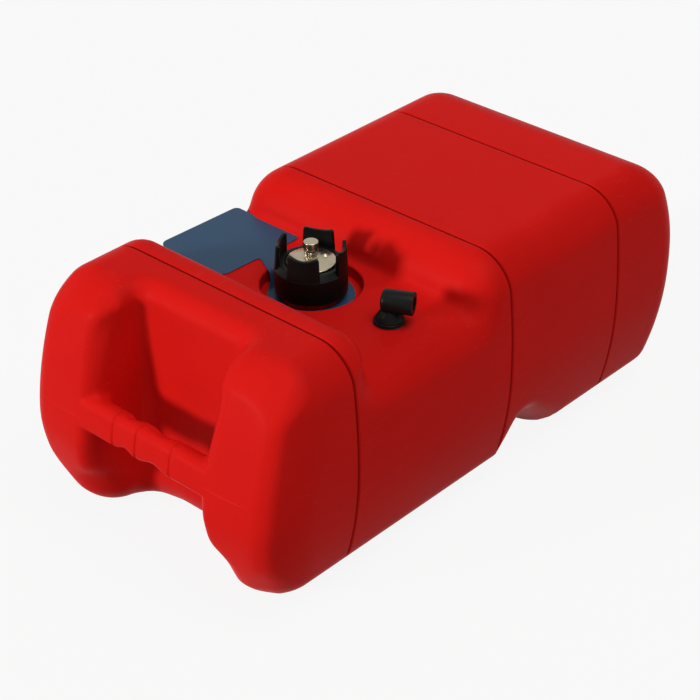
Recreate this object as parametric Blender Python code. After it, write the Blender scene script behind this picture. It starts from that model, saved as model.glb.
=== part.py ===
"""Portable outboard fuel tank: a blow-moulded body with its cap, vent, pickup and tag.

Frame: metres, +Z up. +X runs from the handle end to the far end, and +Y away from
the side with the pickup fitting. The origin is the middle of the footprint.
"""
import math

import bmesh
import bpy
import numpy as np
from mathutils import Matrix, Vector

# Tank body
TANK_LENGTH = 0.5448
TANK_WIDTH = 0.2909
TANK_HEIGHT = 0.2227
WALL = 0.0038
PARTING_HEIGHT = 0.115
CROWN_POWER = 2.0
SIDE_CROWN_HEIGHT = PARTING_HEIGHT
SIDE_LEAN_TOP = 0.0092
SIDE_LEAN_FOOT = 0.0207
FRONT_CROWN_HEIGHT = 0.0890
FRONT_LEAN_TOP = 0.0334
FRONT_LEAN_FOOT = 0.0285
REAR_CROWN_HEIGHT = 0.1400
REAR_LEAN_TOP = 0.0209
REAR_LEAN_FOOT = 0.0159
TOP_EDGE_RADIUS = 0.0312
BOTTOM_EDGE_RADIUS = 0.0388
FRONT_EDGE_RADIUS = 0.0290
REAR_EDGE_RADIUS = 0.0277

# Valley across the top, which holds the filler and the pickup
VALLEY_DEPTH = 0.0366
STEP_X = -0.1404
STEP_EDGE_RADIUS = 0.0175
DECK_FILLET = 0.007
RISE_X = -0.0159
RISE_RADIUS = 0.0370

# Strap channel across the bottom
CHANNEL_FRONT_X = 0.0480
CHANNEL_REAR_X = 0.1050
CHANNEL_HEIGHT = 0.0800
CHANNEL_SLOPE = math.radians(51.8)
CHANNEL_ROOF_RADIUS = 0.026
CHANNEL_FOOT_RADIUS = 0.0100

# Ring grooves round the body
GROOVE_PLACES = (-0.1692, 0.0239, 0.1733)
GROOVE_WIDTH = 0.0026
GROOVE_DEPTH = 0.0014

# Hand recess in the front end, and the grip that crosses it
RECESS_X = -0.205
RECESS_HALF_WIDTH = 0.062
RECESS_LEAN_TOP = 0.0220
RECESS_LEAN_FOOT = 0.0161
RECESS_CORNER_RADIUS = 0.017
RECESS_LIP_RADIUS = 0.010
RECESS_TOP_RADIUS = 0.017
RECESS_FOOT_RADIUS = 0.0421
RECESS_SIDE_FOOT_RADIUS = 0.0351
GRIP_DEPTH = 0.0265
GRIP_HEIGHT = 0.0270
GRIP_CENTRE_HEIGHT = 0.1195
GRIP_SET_BACK = 0.0003
GRIP_FRONT_RADIUS = 0.0040
GRIP_BACK_RADIUS = 0.0095
GRIP_SCALLOP_DEPTH = 0.0036
GRIP_GROOVE_PLACES = (-0.0330, 0.0064, 0.0330)
GRIP_GROOVE_WIDTH = 0.0030
GRIP_GROOVE_DEPTH = 0.0013
GRIP_ROOT_RADIUS = 0.0080

# Filler neck in its round pocket
NECK_X = -0.0683
NECK_RADIUS = 0.0255
NECK_BORE_RADIUS = 0.0220
NECK_RISE = 0.0139
NECK_EDGE = 0.0006
POCKET_RADIUS = 0.0436
POCKET_DEPTH = 0.0111
POCKET_LIP_RADIUS = 0.0018

# Filler cap
CAP_RADIUS = 0.0310
CAP_SKIRT_SINK = 0.0046
CAP_RIM_RISE = 0.0219
CAP_THREAD_ROOM = 0.0014
CAP_SEAT_DEPTH = 0.0016
CAP_RIM_WIDTH = 0.0030
CAP_RIM_BEVEL = 0.0045
CAP_EDGE = 0.0008
PRONG_COUNT = 4
PRONG_FIRST_AZIMUTH = math.radians(29.0)
PRONG_SPAN = math.radians(53.0)
PRONG_THICKNESS = 0.0040
PRONG_SET_BACK = 0.0002
PRONG_TIP_RISE = 0.0401
PRONG_DIP = 0.0034
PRONG_DRAFT = 0.0009
GASKET_THICKNESS = 0.0020
GASKET_MARGIN = 0.0008

# Vent: a domed plate held by a riveted bush, and the screw with its knob, seal and clip
DOME_RADIUS = 0.0226
DOME_RISE = 0.0042
DOME_THICKNESS = 0.0010
DOME_BRIM = 0.0016
KNOB_RADIUS = 0.0064
KNOB_HEIGHT = 0.0068
KNOB_TOP_RISE = 0.0406
KNOB_EDGE = 0.0008
VENT_STEM_RADIUS = 0.0022
VENT_TRAVEL = 0.0015
VENT_BUSH_RADIUS = 0.0052
VENT_FLANGE_RADIUS = 0.0070
VENT_FLANGE_THICKNESS = 0.0009
VENT_RIVET_RADIUS = 0.0066
VENT_RIVET_THICKNESS = 0.0012
VENT_SEAL_RADIUS = 0.0046
VENT_SEAL_THICKNESS = 0.0014
VENT_CLIP_RADIUS = 0.0045
VENT_CLIP_THICKNESS = 0.0008
VENT_CLIP_GROOVE = 0.0005
VENT_STEM_TIP = 0.0010

# Fuel pickup: flanged bush in the deck, swivel elbow, dip tube and strainer
PICKUP_X = -0.0710
PICKUP_SIDE_DISTANCE = 0.05605
BUSH_FLANGE_RADIUS = 0.0133
BUSH_FLANGE_HEIGHT = 0.0050
BUSH_SHOULDER_RADIUS = 0.0098
BUSH_BARREL_RADIUS = 0.0098
BUSH_BARREL_LENGTH = 0.0150
BUSH_BORE_RADIUS = 0.0070
BUSH_EDGE = 0.0008
PORT_BOSS_RADIUS = 0.0150
PORT_BOSS_DEPTH = 0.0080
PICKUP_GASKET_THICKNESS = 0.0012
ELBOW_STEM_RADIUS = 0.0084
ELBOW_WAIST_RADIUS = 0.0078
ELBOW_BARB_RADIUS = 0.0034
ELBOW_BARB_LENGTH = 0.0120
ELBOW_HEAD_RADIUS = 0.0090
ELBOW_HEAD_FRONT = 0.0195
ELBOW_HEAD_BACK = 0.0085
ELBOW_HEAD_EDGE = 0.0016
ELBOW_AXIS_RISE = 0.0179
ELBOW_AZIMUTH = math.radians(-62.4)
ELBOW_BORE_RADIUS = 0.0021
ELBOW_PORT_RADIUS = 0.0056
ELBOW_PORT_DEPTH = 0.0110
ELBOW_TIP = 0.0014
ORING_RADIUS = 0.0007
RETAINER_RADIUS = 0.0084
RETAINER_THICKNESS = 0.0010
RETAINER_GROOVE = 0.0009
DIP_TUBE_WALL = 0.0011
CLAMP_LENGTH = 0.0060
CLAMP_THICKNESS = 0.0009
STRAINER_RADIUS = 0.0095
STRAINER_LENGTH = 0.0260
STRAINER_WALL = 0.0012
STRAINER_NECK_LENGTH = 0.0080
STRAINER_NECK_WALL = 0.0013
STRAINER_WINDOW_COUNT = 6
STRAINER_WINDOW_SPAN = math.radians(38.0)
STRAINER_BAR = 0.0030
STRAINER_FLOOR_GAP = 0.0060

# Tag: a card on the deck, with a strip and a ring round the neck
TAG_THICKNESS = 0.0007
TAG_RING_RADIUS = 0.0365
TAG_HOLE_CLEARANCE = 0.0010
TAG_CARD_WIDTH = 0.0922
TAG_CARD_SHIFT = -0.0030
TAG_CARD_START = 0.0580
TAG_EDGE_MARGIN = 0.00345
TAG_CORNER_RADIUS = 0.0080
TAG_STRIP_WIDTH = 0.0300
TAG_RAMP_START = 0.0280
TAG_RAMP_LENGTH = 0.0120

# Shared clearances and overrun
SEAT_GAP = 0.0003
RUNNING_GAP = 0.0004
OVERRUN = 0.0040
EMBED_SHARE = 0.55

# Resolution
EDGE_STEPS = 5
LIP_STEPS = 4
OUTER_FINE_STEP = 0.0105
OUTER_COARSE_STEP = 0.029
INNER_FINE_STEP = 0.024
INNER_COARSE_STEP = 0.048
CELL_MARGIN_SHARE = -0.10
COUNT_SLACK = 1e-6
ROUND_SEGMENTS = 36
SMALL_ROUND_SEGMENTS = 18
PROJECT_ROUNDS = 14
PROJECT_RELAXATION = 0.9
SLOPE_SQUARE_LIMIT = 0.25
SLOPE_STEP_SHARE = 0.02
CHANNEL_EDGE_SHARE = 0.25
FLAT_ANGLE = math.radians(0.35)

# Sizes that follow from the ones above
HALF_LENGTH = TANK_LENGTH / 2
HALF_WIDTH = TANK_WIDTH / 2
DECK_HEIGHT = TANK_HEIGHT - VALLEY_DEPTH
NECK_TOP = DECK_HEIGHT + NECK_RISE
CAP_BOTTOM = DECK_HEIGHT - CAP_SKIRT_SINK
CAP_RIM_HEIGHT = DECK_HEIGHT + CAP_RIM_RISE
PRONG_TIP_HEIGHT = DECK_HEIGHT + PRONG_TIP_RISE
KNOB_TOP = DECK_HEIGHT + KNOB_TOP_RISE
ELBOW_AXIS_HEIGHT = DECK_HEIGHT + ELBOW_AXIS_RISE
PICKUP_Y = PICKUP_SIDE_DISTANCE - HALF_WIDTH
TAG_CARD_END = HALF_WIDTH - TAG_EDGE_MARGIN
POCKET_FLOOR = DECK_HEIGHT - POCKET_DEPTH
DECK_UNDERSIDE = DECK_HEIGHT - WALL
DECK_CORE = DECK_HEIGHT - WALL * EMBED_SHARE
NECK_PLACE = (NECK_X, 0.0, 0.0)
PICKUP_PLACE = (PICKUP_X, PICKUP_Y, 0.0)
CAP_SOCKET_RADIUS = NECK_RADIUS + CAP_THREAD_ROOM
GASKET_BOTTOM = NECK_TOP + SEAT_GAP
CAP_PLATE_BOTTOM = GASKET_BOTTOM + GASKET_THICKNESS + SEAT_GAP
DOME_SEAT = CAP_RIM_HEIGHT - CAP_SEAT_DEPTH
DOME_SEAT_RADIUS = DOME_RADIUS + SEAT_GAP
DOME_BOTTOM = DOME_SEAT + SEAT_GAP
DOME_TOP = DOME_BOTTOM + DOME_THICKNESS + DOME_RISE
VENT_HOLE_RADIUS = VENT_BUSH_RADIUS + SEAT_GAP
VENT_BORE_RADIUS = VENT_STEM_RADIUS + RUNNING_GAP
KNOB_BOTTOM = KNOB_TOP - KNOB_HEIGHT
VENT_SEAL_BOTTOM = KNOB_BOTTOM - SEAT_GAP - VENT_SEAL_THICKNESS
VENT_BUSH_TOP = VENT_SEAL_BOTTOM - SEAT_GAP
VENT_FLANGE_BOTTOM = DOME_TOP + SEAT_GAP
VENT_RIVET_TOP = CAP_PLATE_BOTTOM - SEAT_GAP
VENT_BUSH_BOTTOM = VENT_RIVET_TOP - VENT_RIVET_THICKNESS
VENT_CLIP_TOP = VENT_BUSH_BOTTOM - VENT_TRAVEL - SEAT_GAP
VENT_CLIP_BOTTOM = VENT_CLIP_TOP - VENT_CLIP_THICKNESS
VENT_STEM_BOTTOM = VENT_CLIP_BOTTOM - SEAT_GAP - VENT_STEM_TIP
PICKUP_GASKET_BOTTOM = DECK_HEIGHT + SEAT_GAP
BUSH_BOTTOM = PICKUP_GASKET_BOTTOM + PICKUP_GASKET_THICKNESS + SEAT_GAP
BUSH_TOP = BUSH_BOTTOM + BUSH_FLANGE_HEIGHT
BUSH_END = BUSH_BOTTOM - BUSH_BARREL_LENGTH
ELBOW_STEM_BOTTOM = BUSH_TOP + SEAT_GAP
ELBOW_SPIGOT_RADIUS = BUSH_BORE_RADIUS - RUNNING_GAP
ORING_CENTRE_RADIUS = BUSH_BORE_RADIUS - SEAT_GAP - ORING_RADIUS
ORING_GROOVE_RADIUS = ORING_CENTRE_RADIUS - ORING_RADIUS - SEAT_GAP
ORING_HEIGHT = (BUSH_BOTTOM + BUSH_END) / 2
ORING_GROOVE_HALF = ORING_RADIUS + SEAT_GAP
RETAINER_TOP = BUSH_END - SEAT_GAP
RETAINER_BOTTOM = RETAINER_TOP - RETAINER_THICKNESS
RETAINER_GROOVE_RADIUS = ELBOW_SPIGOT_RADIUS - RETAINER_GROOVE
SPIGOT_BOTTOM = RETAINER_BOTTOM - SEAT_GAP - ELBOW_TIP
DIP_TUBE_TOP = SPIGOT_BOTTOM - SEAT_GAP
DIP_TUBE_BORE_RADIUS = ELBOW_BARB_RADIUS + SEAT_GAP
DIP_TUBE_RADIUS = DIP_TUBE_BORE_RADIUS + DIP_TUBE_WALL
CLAMP_BORE_RADIUS = DIP_TUBE_RADIUS + SEAT_GAP
CLAMP_TOP = DIP_TUBE_TOP - (ELBOW_BARB_LENGTH - CLAMP_LENGTH) / 2
STRAINER_BOTTOM = WALL + STRAINER_FLOOR_GAP
STRAINER_TOP = STRAINER_BOTTOM + STRAINER_LENGTH
STRAINER_NECK_BORE_RADIUS = DIP_TUBE_RADIUS + SEAT_GAP
STRAINER_NECK_RADIUS = STRAINER_NECK_BORE_RADIUS + STRAINER_NECK_WALL
DIP_TUBE_BOTTOM = STRAINER_TOP - STRAINER_NECK_LENGTH
TAG_HOLE_RADIUS = NECK_RADIUS + TAG_HOLE_CLEARANCE


def clear_scene():
    """Start from nothing, whatever the file held."""
    for item in list(bpy.data.objects):
        bpy.data.objects.remove(item)


def material(name, colour, roughness, metallic=0.0):
    """A Principled material with one colour."""
    made = bpy.data.materials.new(name)
    made.use_nodes = True
    shader = made.node_tree.nodes["Principled BSDF"]
    shader.inputs["Base Color"].default_value = (*colour, 1.0)
    shader.inputs["Roughness"].default_value = roughness
    shader.inputs["Metallic"].default_value = metallic
    made.diffuse_color = (*colour, 1.0)
    return made


def add_object(name, mesh, finish=None):
    """Put a mesh into the scene under a name."""
    placed = bpy.data.objects.new(name, mesh)
    bpy.context.collection.objects.link(placed)
    if finish is not None:
        mesh.materials.append(finish)
    mesh.shade_smooth()
    mesh.set_sharp_from_angle(angle=math.radians(30.0))
    return placed


def mesh_from(bm, name):
    """Turn a bmesh into a mesh whose faces point outwards."""
    mesh = bpy.data.meshes.new(name)
    bm.to_mesh(mesh)
    bm.free()
    return mesh


def helper(mesh):
    """An object that only cuts or adds, and isn't part of the model."""
    tool = add_object(mesh.name, mesh)
    tool.hide_render = True
    tool.display_type = 'WIRE'
    return tool


def boolean(target, tool, operation):
    """Apply one exact Boolean by modifier."""
    step = target.modifiers.new(tool.name, 'BOOLEAN')
    step.operation = operation
    step.solver = 'EXACT'
    step.object = tool


def turned(name, profile, centre=(0.0, 0.0, 0.0), segments=ROUND_SEGMENTS):
    """Revolve a closed profile of (radius, height) points about a vertical axis.

    A profile that ends on the axis gets a flat cap there.
    """
    bm = bmesh.new()
    angles = [2 * math.pi * i / segments for i in range(segments)]
    rings = []
    for radius, height in profile:
        if radius > 0.0:
            ring = [bm.verts.new((radius * math.cos(a), radius * math.sin(a), height)) for a in angles]
        else:
            ring = None
        rings.append(ring)
    for low, high in zip(rings, rings[1:] + rings[:1]):
        if low and high:
            for step in range(segments):
                after = (step + 1) % segments
                bm.faces.new((low[step], low[after], high[after], high[step]))
        elif low or high:
            bm.faces.new(low or high)
    bmesh.ops.recalc_face_normals(bm, faces=bm.faces)
    bmesh.ops.translate(bm, verts=bm.verts, vec=Vector(centre))
    return mesh_from(bm, name)


def arc(centre, radius, start, end, steps):
    """Points of an arc in a profile, angles in degrees."""
    turn = [math.radians(start + (end - start) * i / steps) for i in range(steps + 1)]
    return [(centre[0] + radius * math.cos(a), centre[1] + radius * math.sin(a)) for a in turn]


def round_max(a, b, radius):
    """What lies inside both surfaces, with a fillet of this radius along their edge."""
    u = np.maximum(a + radius, 0.0)
    v = np.maximum(b + radius, 0.0)
    return np.minimum(np.maximum(a, b), -radius) + np.hypot(u, v)


def round_min(a, b, radius):
    """What lies inside either surface, with a fillet of this radius in their corner."""
    return -round_max(-a, -b, radius)


def ease(share):
    """A smooth step from 0 to 1."""
    t = np.clip(share, 0.0, 1.0)
    return t * t * (3.0 - 2.0 * t)


def lean(z, crown, top, foot):
    """How far a wall has moved in at a height: nothing at its crown, most at top and foot."""
    above = np.maximum(z - crown, 0.0) / (TANK_HEIGHT - crown)
    below = np.maximum(crown - z, 0.0) / crown
    return top * above ** CROWN_POWER + foot * below ** CROWN_POWER


def leaning(distance, z, crown, top, foot):
    """Distance to a wall that is plumb at its crown and curves in above and below it."""
    above = np.maximum(z - crown, 0.0) / (TANK_HEIGHT - crown)
    below = np.maximum(crown - z, 0.0) / crown
    slope = CROWN_POWER * top / (TANK_HEIGHT - crown) * above ** (CROWN_POWER - 1.0)
    slope = slope + CROWN_POWER * foot / crown * below ** (CROWN_POWER - 1.0)
    return (distance + lean(z, crown, top, foot)) / np.hypot(1.0, slope)


def front_lean(z):
    return lean(z, FRONT_CROWN_HEIGHT, FRONT_LEAN_TOP, FRONT_LEAN_FOOT)


def recess_lean(z):
    return lean(z, PARTING_HEIGHT, RECESS_LEAN_TOP, RECESS_LEAN_FOOT)


def channel_distance(x, z):
    """Strap channel under the body: below zero inside it."""
    slope = (x - CHANNEL_REAR_X) * math.sin(CHANNEL_SLOPE) + z * math.cos(CHANNEL_SLOPE)
    front = round_max(CHANNEL_FRONT_X - x, z - CHANNEL_HEIGHT, CHANNEL_ROOF_RADIUS)
    return round_max(front, slope, CHANNEL_ROOF_RADIUS)


def recess_distance(x, y, z):
    """Hand recess through the front end, from top to bottom: below zero inside it."""
    outward = RECESS_HALF_WIDTH - np.abs(y)
    side = -leaning(outward, z, PARTING_HEIGHT, RECESS_LEAN_TOP, RECESS_LEAN_FOOT)
    return round_max(x - RECESS_X, side, RECESS_CORNER_RADIUS)


def recess_edge_radius(y, z):
    """The recess has a small lip, and rounds out at top and foot."""
    top = ease((z - TANK_HEIGHT + 2 * RECESS_TOP_RADIUS) / RECESS_TOP_RADIUS)
    foot = ease((2 * RECESS_FOOT_RADIUS - z) / RECESS_FOOT_RADIUS)
    beside = ease((np.abs(y) - RECESS_HALF_WIDTH / 2) / (RECESS_HALF_WIDTH / 2))
    foot_radius = RECESS_FOOT_RADIUS + (RECESS_SIDE_FOOT_RADIUS - RECESS_FOOT_RADIUS) * beside
    radius = RECESS_LIP_RADIUS + (RECESS_TOP_RADIUS - RECESS_LIP_RADIUS) * top
    return radius + (foot_radius - RECESS_LIP_RADIUS) * foot


def body_distance(points):
    """Signed distance, about, to the moulded body: below zero inside the plastic's outline."""
    x, y, z = points[:, 0], points[:, 1], points[:, 2]
    side = leaning(np.abs(y) - HALF_WIDTH, z, SIDE_CROWN_HEIGHT, SIDE_LEAN_TOP, SIDE_LEAN_FOOT)
    front = leaning(-x - HALF_LENGTH, z, FRONT_CROWN_HEIGHT, FRONT_LEAN_TOP, FRONT_LEAN_FOOT)
    rear = leaning(x - HALF_LENGTH, z, REAR_CROWN_HEIGHT, REAR_LEAN_TOP, REAR_LEAN_FOOT)
    front_block = round_max(z - TANK_HEIGHT, x - STEP_X, STEP_EDGE_RADIUS)
    rear_block = round_max(z - TANK_HEIGHT, RISE_X - x, RISE_RADIUS)
    top = round_min(z - DECK_HEIGHT, np.minimum(front_block, rear_block), DECK_FILLET)
    bottom = round_max(-z, -channel_distance(x, z), CHANNEL_FOOT_RADIUS)
    section = round_max(side, top, TOP_EDGE_RADIUS)
    low_edge = 1.0 - (1.0 - CHANNEL_EDGE_SHARE) * ease(z / CHANNEL_HEIGHT)
    section = round_max(section, bottom, BOTTOM_EDGE_RADIUS * low_edge)
    body = round_max(section, front, FRONT_EDGE_RADIUS)
    body = round_max(body, rear, REAR_EDGE_RADIUS)
    body = round_max(body, -recess_distance(x, y, z), recess_edge_radius(y, z))
    return body


def leaned(points):
    """Move places of the plain box as the body's walls lean at their heights."""
    x, y, z = points[:, 0], points[:, 1], points[:, 2]
    ahead = np.maximum(RECESS_X - x, 0.0) / (RECESS_X + HALF_LENGTH)
    start = GROOVE_PLACES[-1] + GROOVE_WIDTH
    behind = np.maximum(x - start, 0.0) / (HALF_LENGTH - start)
    front = front_lean(z)
    rear = lean(z, REAR_CROWN_HEIGHT, REAR_LEAN_TOP, REAR_LEAN_FOOT)
    side = lean(z, SIDE_CROWN_HEIGHT, SIDE_LEAN_TOP, SIDE_LEAN_FOOT)
    recess = recess_lean(z)
    reach = np.abs(y)
    share = (HALF_WIDTH - reach) / (HALF_WIDTH - RECESS_HALF_WIDTH)
    wide = reach + recess * share - side * (1.0 - share)
    narrow = reach * (1.0 + recess / RECESS_HALF_WIDTH)
    leaned_y = np.copysign(np.where(reach > RECESS_HALF_WIDTH, wide, narrow), y)
    return np.stack([x + front * ahead - rear * behind, leaned_y, z], axis=1)


def plain_distance(points):
    """Distance to the body from places given in the plain box."""
    return body_distance(leaned(points))


def slope_of(field, points):
    """Slope of a distance at each point, by central differences."""
    step = WALL * SLOPE_STEP_SHARE
    slope = np.empty_like(points)
    for axis in range(3):
        shift = np.zeros(3)
        shift[axis] = step
        slope[:, axis] = (field(points + shift) - field(points - shift)) / (2 * step)
    return slope


def groove_depth(x):
    """Depth of the ring grooves at a place along the body: a V at each groove."""
    depth = np.zeros_like(x)
    for place in GROOVE_PLACES:
        depth = np.maximum(depth, 1.0 - np.abs(x - place) / (GROOVE_WIDTH / 2))
    return GROOVE_DEPTH * depth


def spaced(planes):
    """Grid lines along an axis, from (place, width, step) of planes that lie midway in cells.

    The width is that cell's, and the step is the widest cell up to the next plane's.
    """
    lines = []
    for (place, width, step), (after, next_width, _) in zip(planes, planes[1:]):
        start, end = place + width / 2, after - next_width / 2
        count = math.ceil((end - start) / step - COUNT_SLACK)
        lines.append(place - width / 2)
        lines += [start + (end - start) * i / count for i in range(count)]
    place, width, _ = planes[-1]
    return lines + [place - width / 2, place + width / 2]


def grid_lines(inset, fine, coarse, grooved):
    """Lines of a skin's grid along X, Y and Z, close together where the body curves."""
    half = GROOVE_WIDTH / 2
    rings = [[], [], []]
    if grooved:
        rings = [[(place - half, half, half), (place, half, half), (place + half, half, fine)]
                 for place in GROOVE_PLACES]
    along = [(inset - HALF_LENGTH, fine, fine), (RECESS_X + inset, fine, coarse), *rings[0]]
    along += [(STEP_X - inset, fine, fine), (STEP_X - inset + 2 * fine, fine, coarse)]
    along += [(RISE_X + inset - 2 * fine, fine, fine), (RISE_X + inset, fine, fine), *rings[1]]
    along += [(CHANNEL_FRONT_X - inset, fine, fine), (CHANNEL_REAR_X + inset, fine, coarse), *rings[2]]
    along += [(HALF_LENGTH - REAR_EDGE_RADIUS, fine, fine), (HALF_LENGTH - inset, fine, fine)]
    across = spaced([(inset - HALF_WIDTH, fine, fine), (inset - HALF_WIDTH + TOP_EDGE_RADIUS, fine, fine),
                     (-RECESS_HALF_WIDTH - inset, fine, coarse), (0.0, coarse, coarse)])
    across = [place for place in across if place < 0.0]
    across += [-place for place in reversed(across)]
    up = [(inset, fine, fine), (BOTTOM_EDGE_RADIUS, fine, coarse), (CHANNEL_HEIGHT + inset, fine, coarse),
          (DECK_HEIGHT - TOP_EDGE_RADIUS, fine, fine), (DECK_HEIGHT - inset, fine, fine),
          (TANK_HEIGHT - inset, fine, fine)]
    return spaced(along), across, spaced(up)


def crossing_means(corners, values):
    """Sum and count, for each cell, of the places where its edges cross the level."""
    cells = tuple(size - 1 for size in values.shape)
    total, count = np.zeros((*cells, 3)), np.zeros(cells)
    near, far = slice(None, -1), slice(1, None)
    for axis in range(3):
        start, end = [slice(None)] * 3, [slice(None)] * 3
        start[axis], end[axis] = near, far
        start, end = tuple(start), tuple(end)
        crosses = (values[start] < 0.0) != (values[end] < 0.0)
        fall = np.where(crosses, values[start] - values[end], 1.0)
        share = np.where(crosses, values[start] / fall, 0.0)[..., None]
        places = corners[start] + share * (corners[end] - corners[start])
        for first in (near, far):
            for second in (near, far):
                pick = [first, second]
                pick.insert(axis, slice(None))
                pick = tuple(pick)
                total += crosses[pick][..., None] * places[pick]
                count += crosses[pick]
    return total, count


def settle(points, low, high, level):
    """Move each place inside its own cell of the plain box until it lies on a level."""
    for _ in range(PROJECT_ROUNDS):
        way = slope_of(plain_distance, points)
        value = plain_distance(points) - level
        square = np.maximum((way ** 2).sum(axis=1), SLOPE_SQUARE_LIMIT)
        points = points - PROJECT_RELAXATION * (value / square)[:, None] * way
        points = np.clip(points, low, high)
    return points


def skin(bm, level, fine, coarse, grooved):
    """Add one skin of the body: one point in each grid cell that the level passes through.

    The grid is straight in the plain box, so its lines lean with the walls. A face joins
    the four cells round each grid edge that crosses the level. The outer skin faces out,
    and the wall's inner side, at a level below zero, faces in.
    """
    lines = [np.array(row) for row in grid_lines(-level, fine, coarse, grooved)]
    corners = np.stack(np.meshgrid(*lines, indexing='ij'), axis=-1)
    values = (plain_distance(corners.reshape(-1, 3)) - level).reshape(corners.shape[:3])
    inside = values < 0.0
    total, count = crossing_means(corners, values)
    cells = np.argwhere(count > 0)
    low = corners[cells[:, 0], cells[:, 1], cells[:, 2]]
    high = corners[cells[:, 0] + 1, cells[:, 1] + 1, cells[:, 2] + 1]
    margin = CELL_MARGIN_SHARE * (high - low)
    middle = total[count > 0] / count[count > 0][:, None]
    points = leaned(settle(middle, low + margin, high - margin, level))
    if grooved:
        points = points - groove_depth(points[:, 0])[:, None] * slope_of(body_distance, points)
    verts = {tuple(cell): bm.verts.new(point) for cell, point in zip(cells, points)}
    for axis in range(3):
        first, second = (axis + 1) % 3, (axis + 2) % 3
        before = np.take(inside, range(inside.shape[axis] - 1), axis)
        after = np.take(inside, range(1, inside.shape[axis]), axis)
        for place in np.argwhere(before != after):
            ring = []
            for back, down in ((1, 1), (0, 1), (0, 0), (1, 0)):
                cell = place.copy()
                cell[first] -= back
                cell[second] -= down
                ring.append(verts[tuple(cell)])
            if before[tuple(place)] != (level < 0.0):
                bm.faces.new(ring)
            else:
                bm.faces.new(reversed(ring))


def ring_profile(inner, outer, low, high, bevel=0.0):
    """Profile of a washer, sleeve or disc, with its outer edges broken by a bevel."""
    if not bevel:
        return [(inner, low), (outer, low), (outer, high), (inner, high)]
    return [(inner, low), (outer - bevel, low), (outer, low + bevel),
            (outer, high - bevel), (outer - bevel, high), (inner, high)]


def quarter(centre, radius, start, end):
    """Points of a quarter round in a profile."""
    return arc(centre, radius, start, end, LIP_STEPS)


def grip_section(depth, drop, growth, groove):
    """Rounded outline of the grip in (x, z): flat in front, well rounded behind."""
    front = GRIP_SET_BACK - HALF_LENGTH + groove
    back = GRIP_SET_BACK - HALF_LENGTH + depth + growth - groove
    top = GRIP_CENTRE_HEIGHT + GRIP_HEIGHT / 2 + growth - groove
    bottom = GRIP_CENTRE_HEIGHT - GRIP_HEIGHT / 2 - growth + groove + drop
    fore, aft = GRIP_FRONT_RADIUS, GRIP_BACK_RADIUS
    corners = quarter((front + fore, top - fore), fore, 180.0, 90.0)
    corners += quarter((back - aft, top - aft), aft, 90.0, 0.0)
    corners += quarter((back - aft, bottom + aft), aft, 0.0, -90.0)
    corners += quarter((front + fore, bottom + fore), fore, 270.0, 180.0)
    middle = (front + back) / 2
    return [(x + (front_lean(z) if x < middle else 0.0), z) for x, z in corners]


def grip_stations():
    """Sections along the grip: (place, depth of the finger hollow, depth of the groove)."""
    half = GRIP_GROOVE_WIDTH / 2
    rows = []
    for place in GRIP_GROOVE_PLACES:
        rows += [(place - half, 0.0, 0.0), (place, 0.0, GRIP_GROOVE_DEPTH), (place + half, 0.0, 0.0)]
    for start, end in zip(GRIP_GROOVE_PLACES, GRIP_GROOVE_PLACES[1:]):
        low, high = start + half, end - half
        for step in range(1, LIP_STEPS):
            share = step / LIP_STEPS
            hollow = GRIP_SCALLOP_DEPTH * math.sin(math.pi * share) ** 2
            rows.append((low + (high - low) * share, hollow, 0.0))
    return sorted(rows)


def grip_bar():
    """Loft of the grip across the recess: flared roots, finger hollows and ring grooves."""
    bm = bmesh.new()
    loops = []
    roots = []
    for step in range(LIP_STEPS + 1):
        turn = math.radians(90.0 * step / LIP_STEPS)
        inset = GRIP_ROOT_RADIUS * (1.0 - math.sin(turn))
        roots.append((inset, GRIP_ROOT_RADIUS * (1.0 - math.cos(turn))))
    roots.append((-WALL * EMBED_SHARE, GRIP_ROOT_RADIUS))
    roots.append((-RECESS_LIP_RADIUS, GRIP_ROOT_RADIUS))

    def root_loop(inset, growth, side):
        outline = grip_section(GRIP_DEPTH, 0.0, growth, 0.0)
        return [(x, side * (RECESS_HALF_WIDTH + recess_lean(z) - inset), z) for x, z in outline]

    for inset, growth in reversed(roots):
        loops.append(root_loop(inset, growth, -1.0))
    for place, hollow, groove in grip_stations():
        outline = grip_section(GRIP_DEPTH - hollow, hollow, 0.0, groove)
        loops.append([(x, place, z) for x, z in outline])
    for inset, growth in roots:
        loops.append(root_loop(inset, growth, 1.0))
    rings = [[bm.verts.new(point) for point in loop] for loop in loops]
    count = len(rings[0])
    for near, far in zip(rings, rings[1:]):
        for i in range(count):
            j = (i + 1) % count
            bm.faces.new((near[i], near[j], far[j], far[i]))
    bm.faces.new(rings[0])
    bm.faces.new(reversed(rings[-1]))
    bmesh.ops.triangulate(bm, faces=bm.faces)
    bmesh.ops.recalc_face_normals(bm, faces=bm.faces)
    return mesh_from(bm, "grip_bar")


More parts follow.
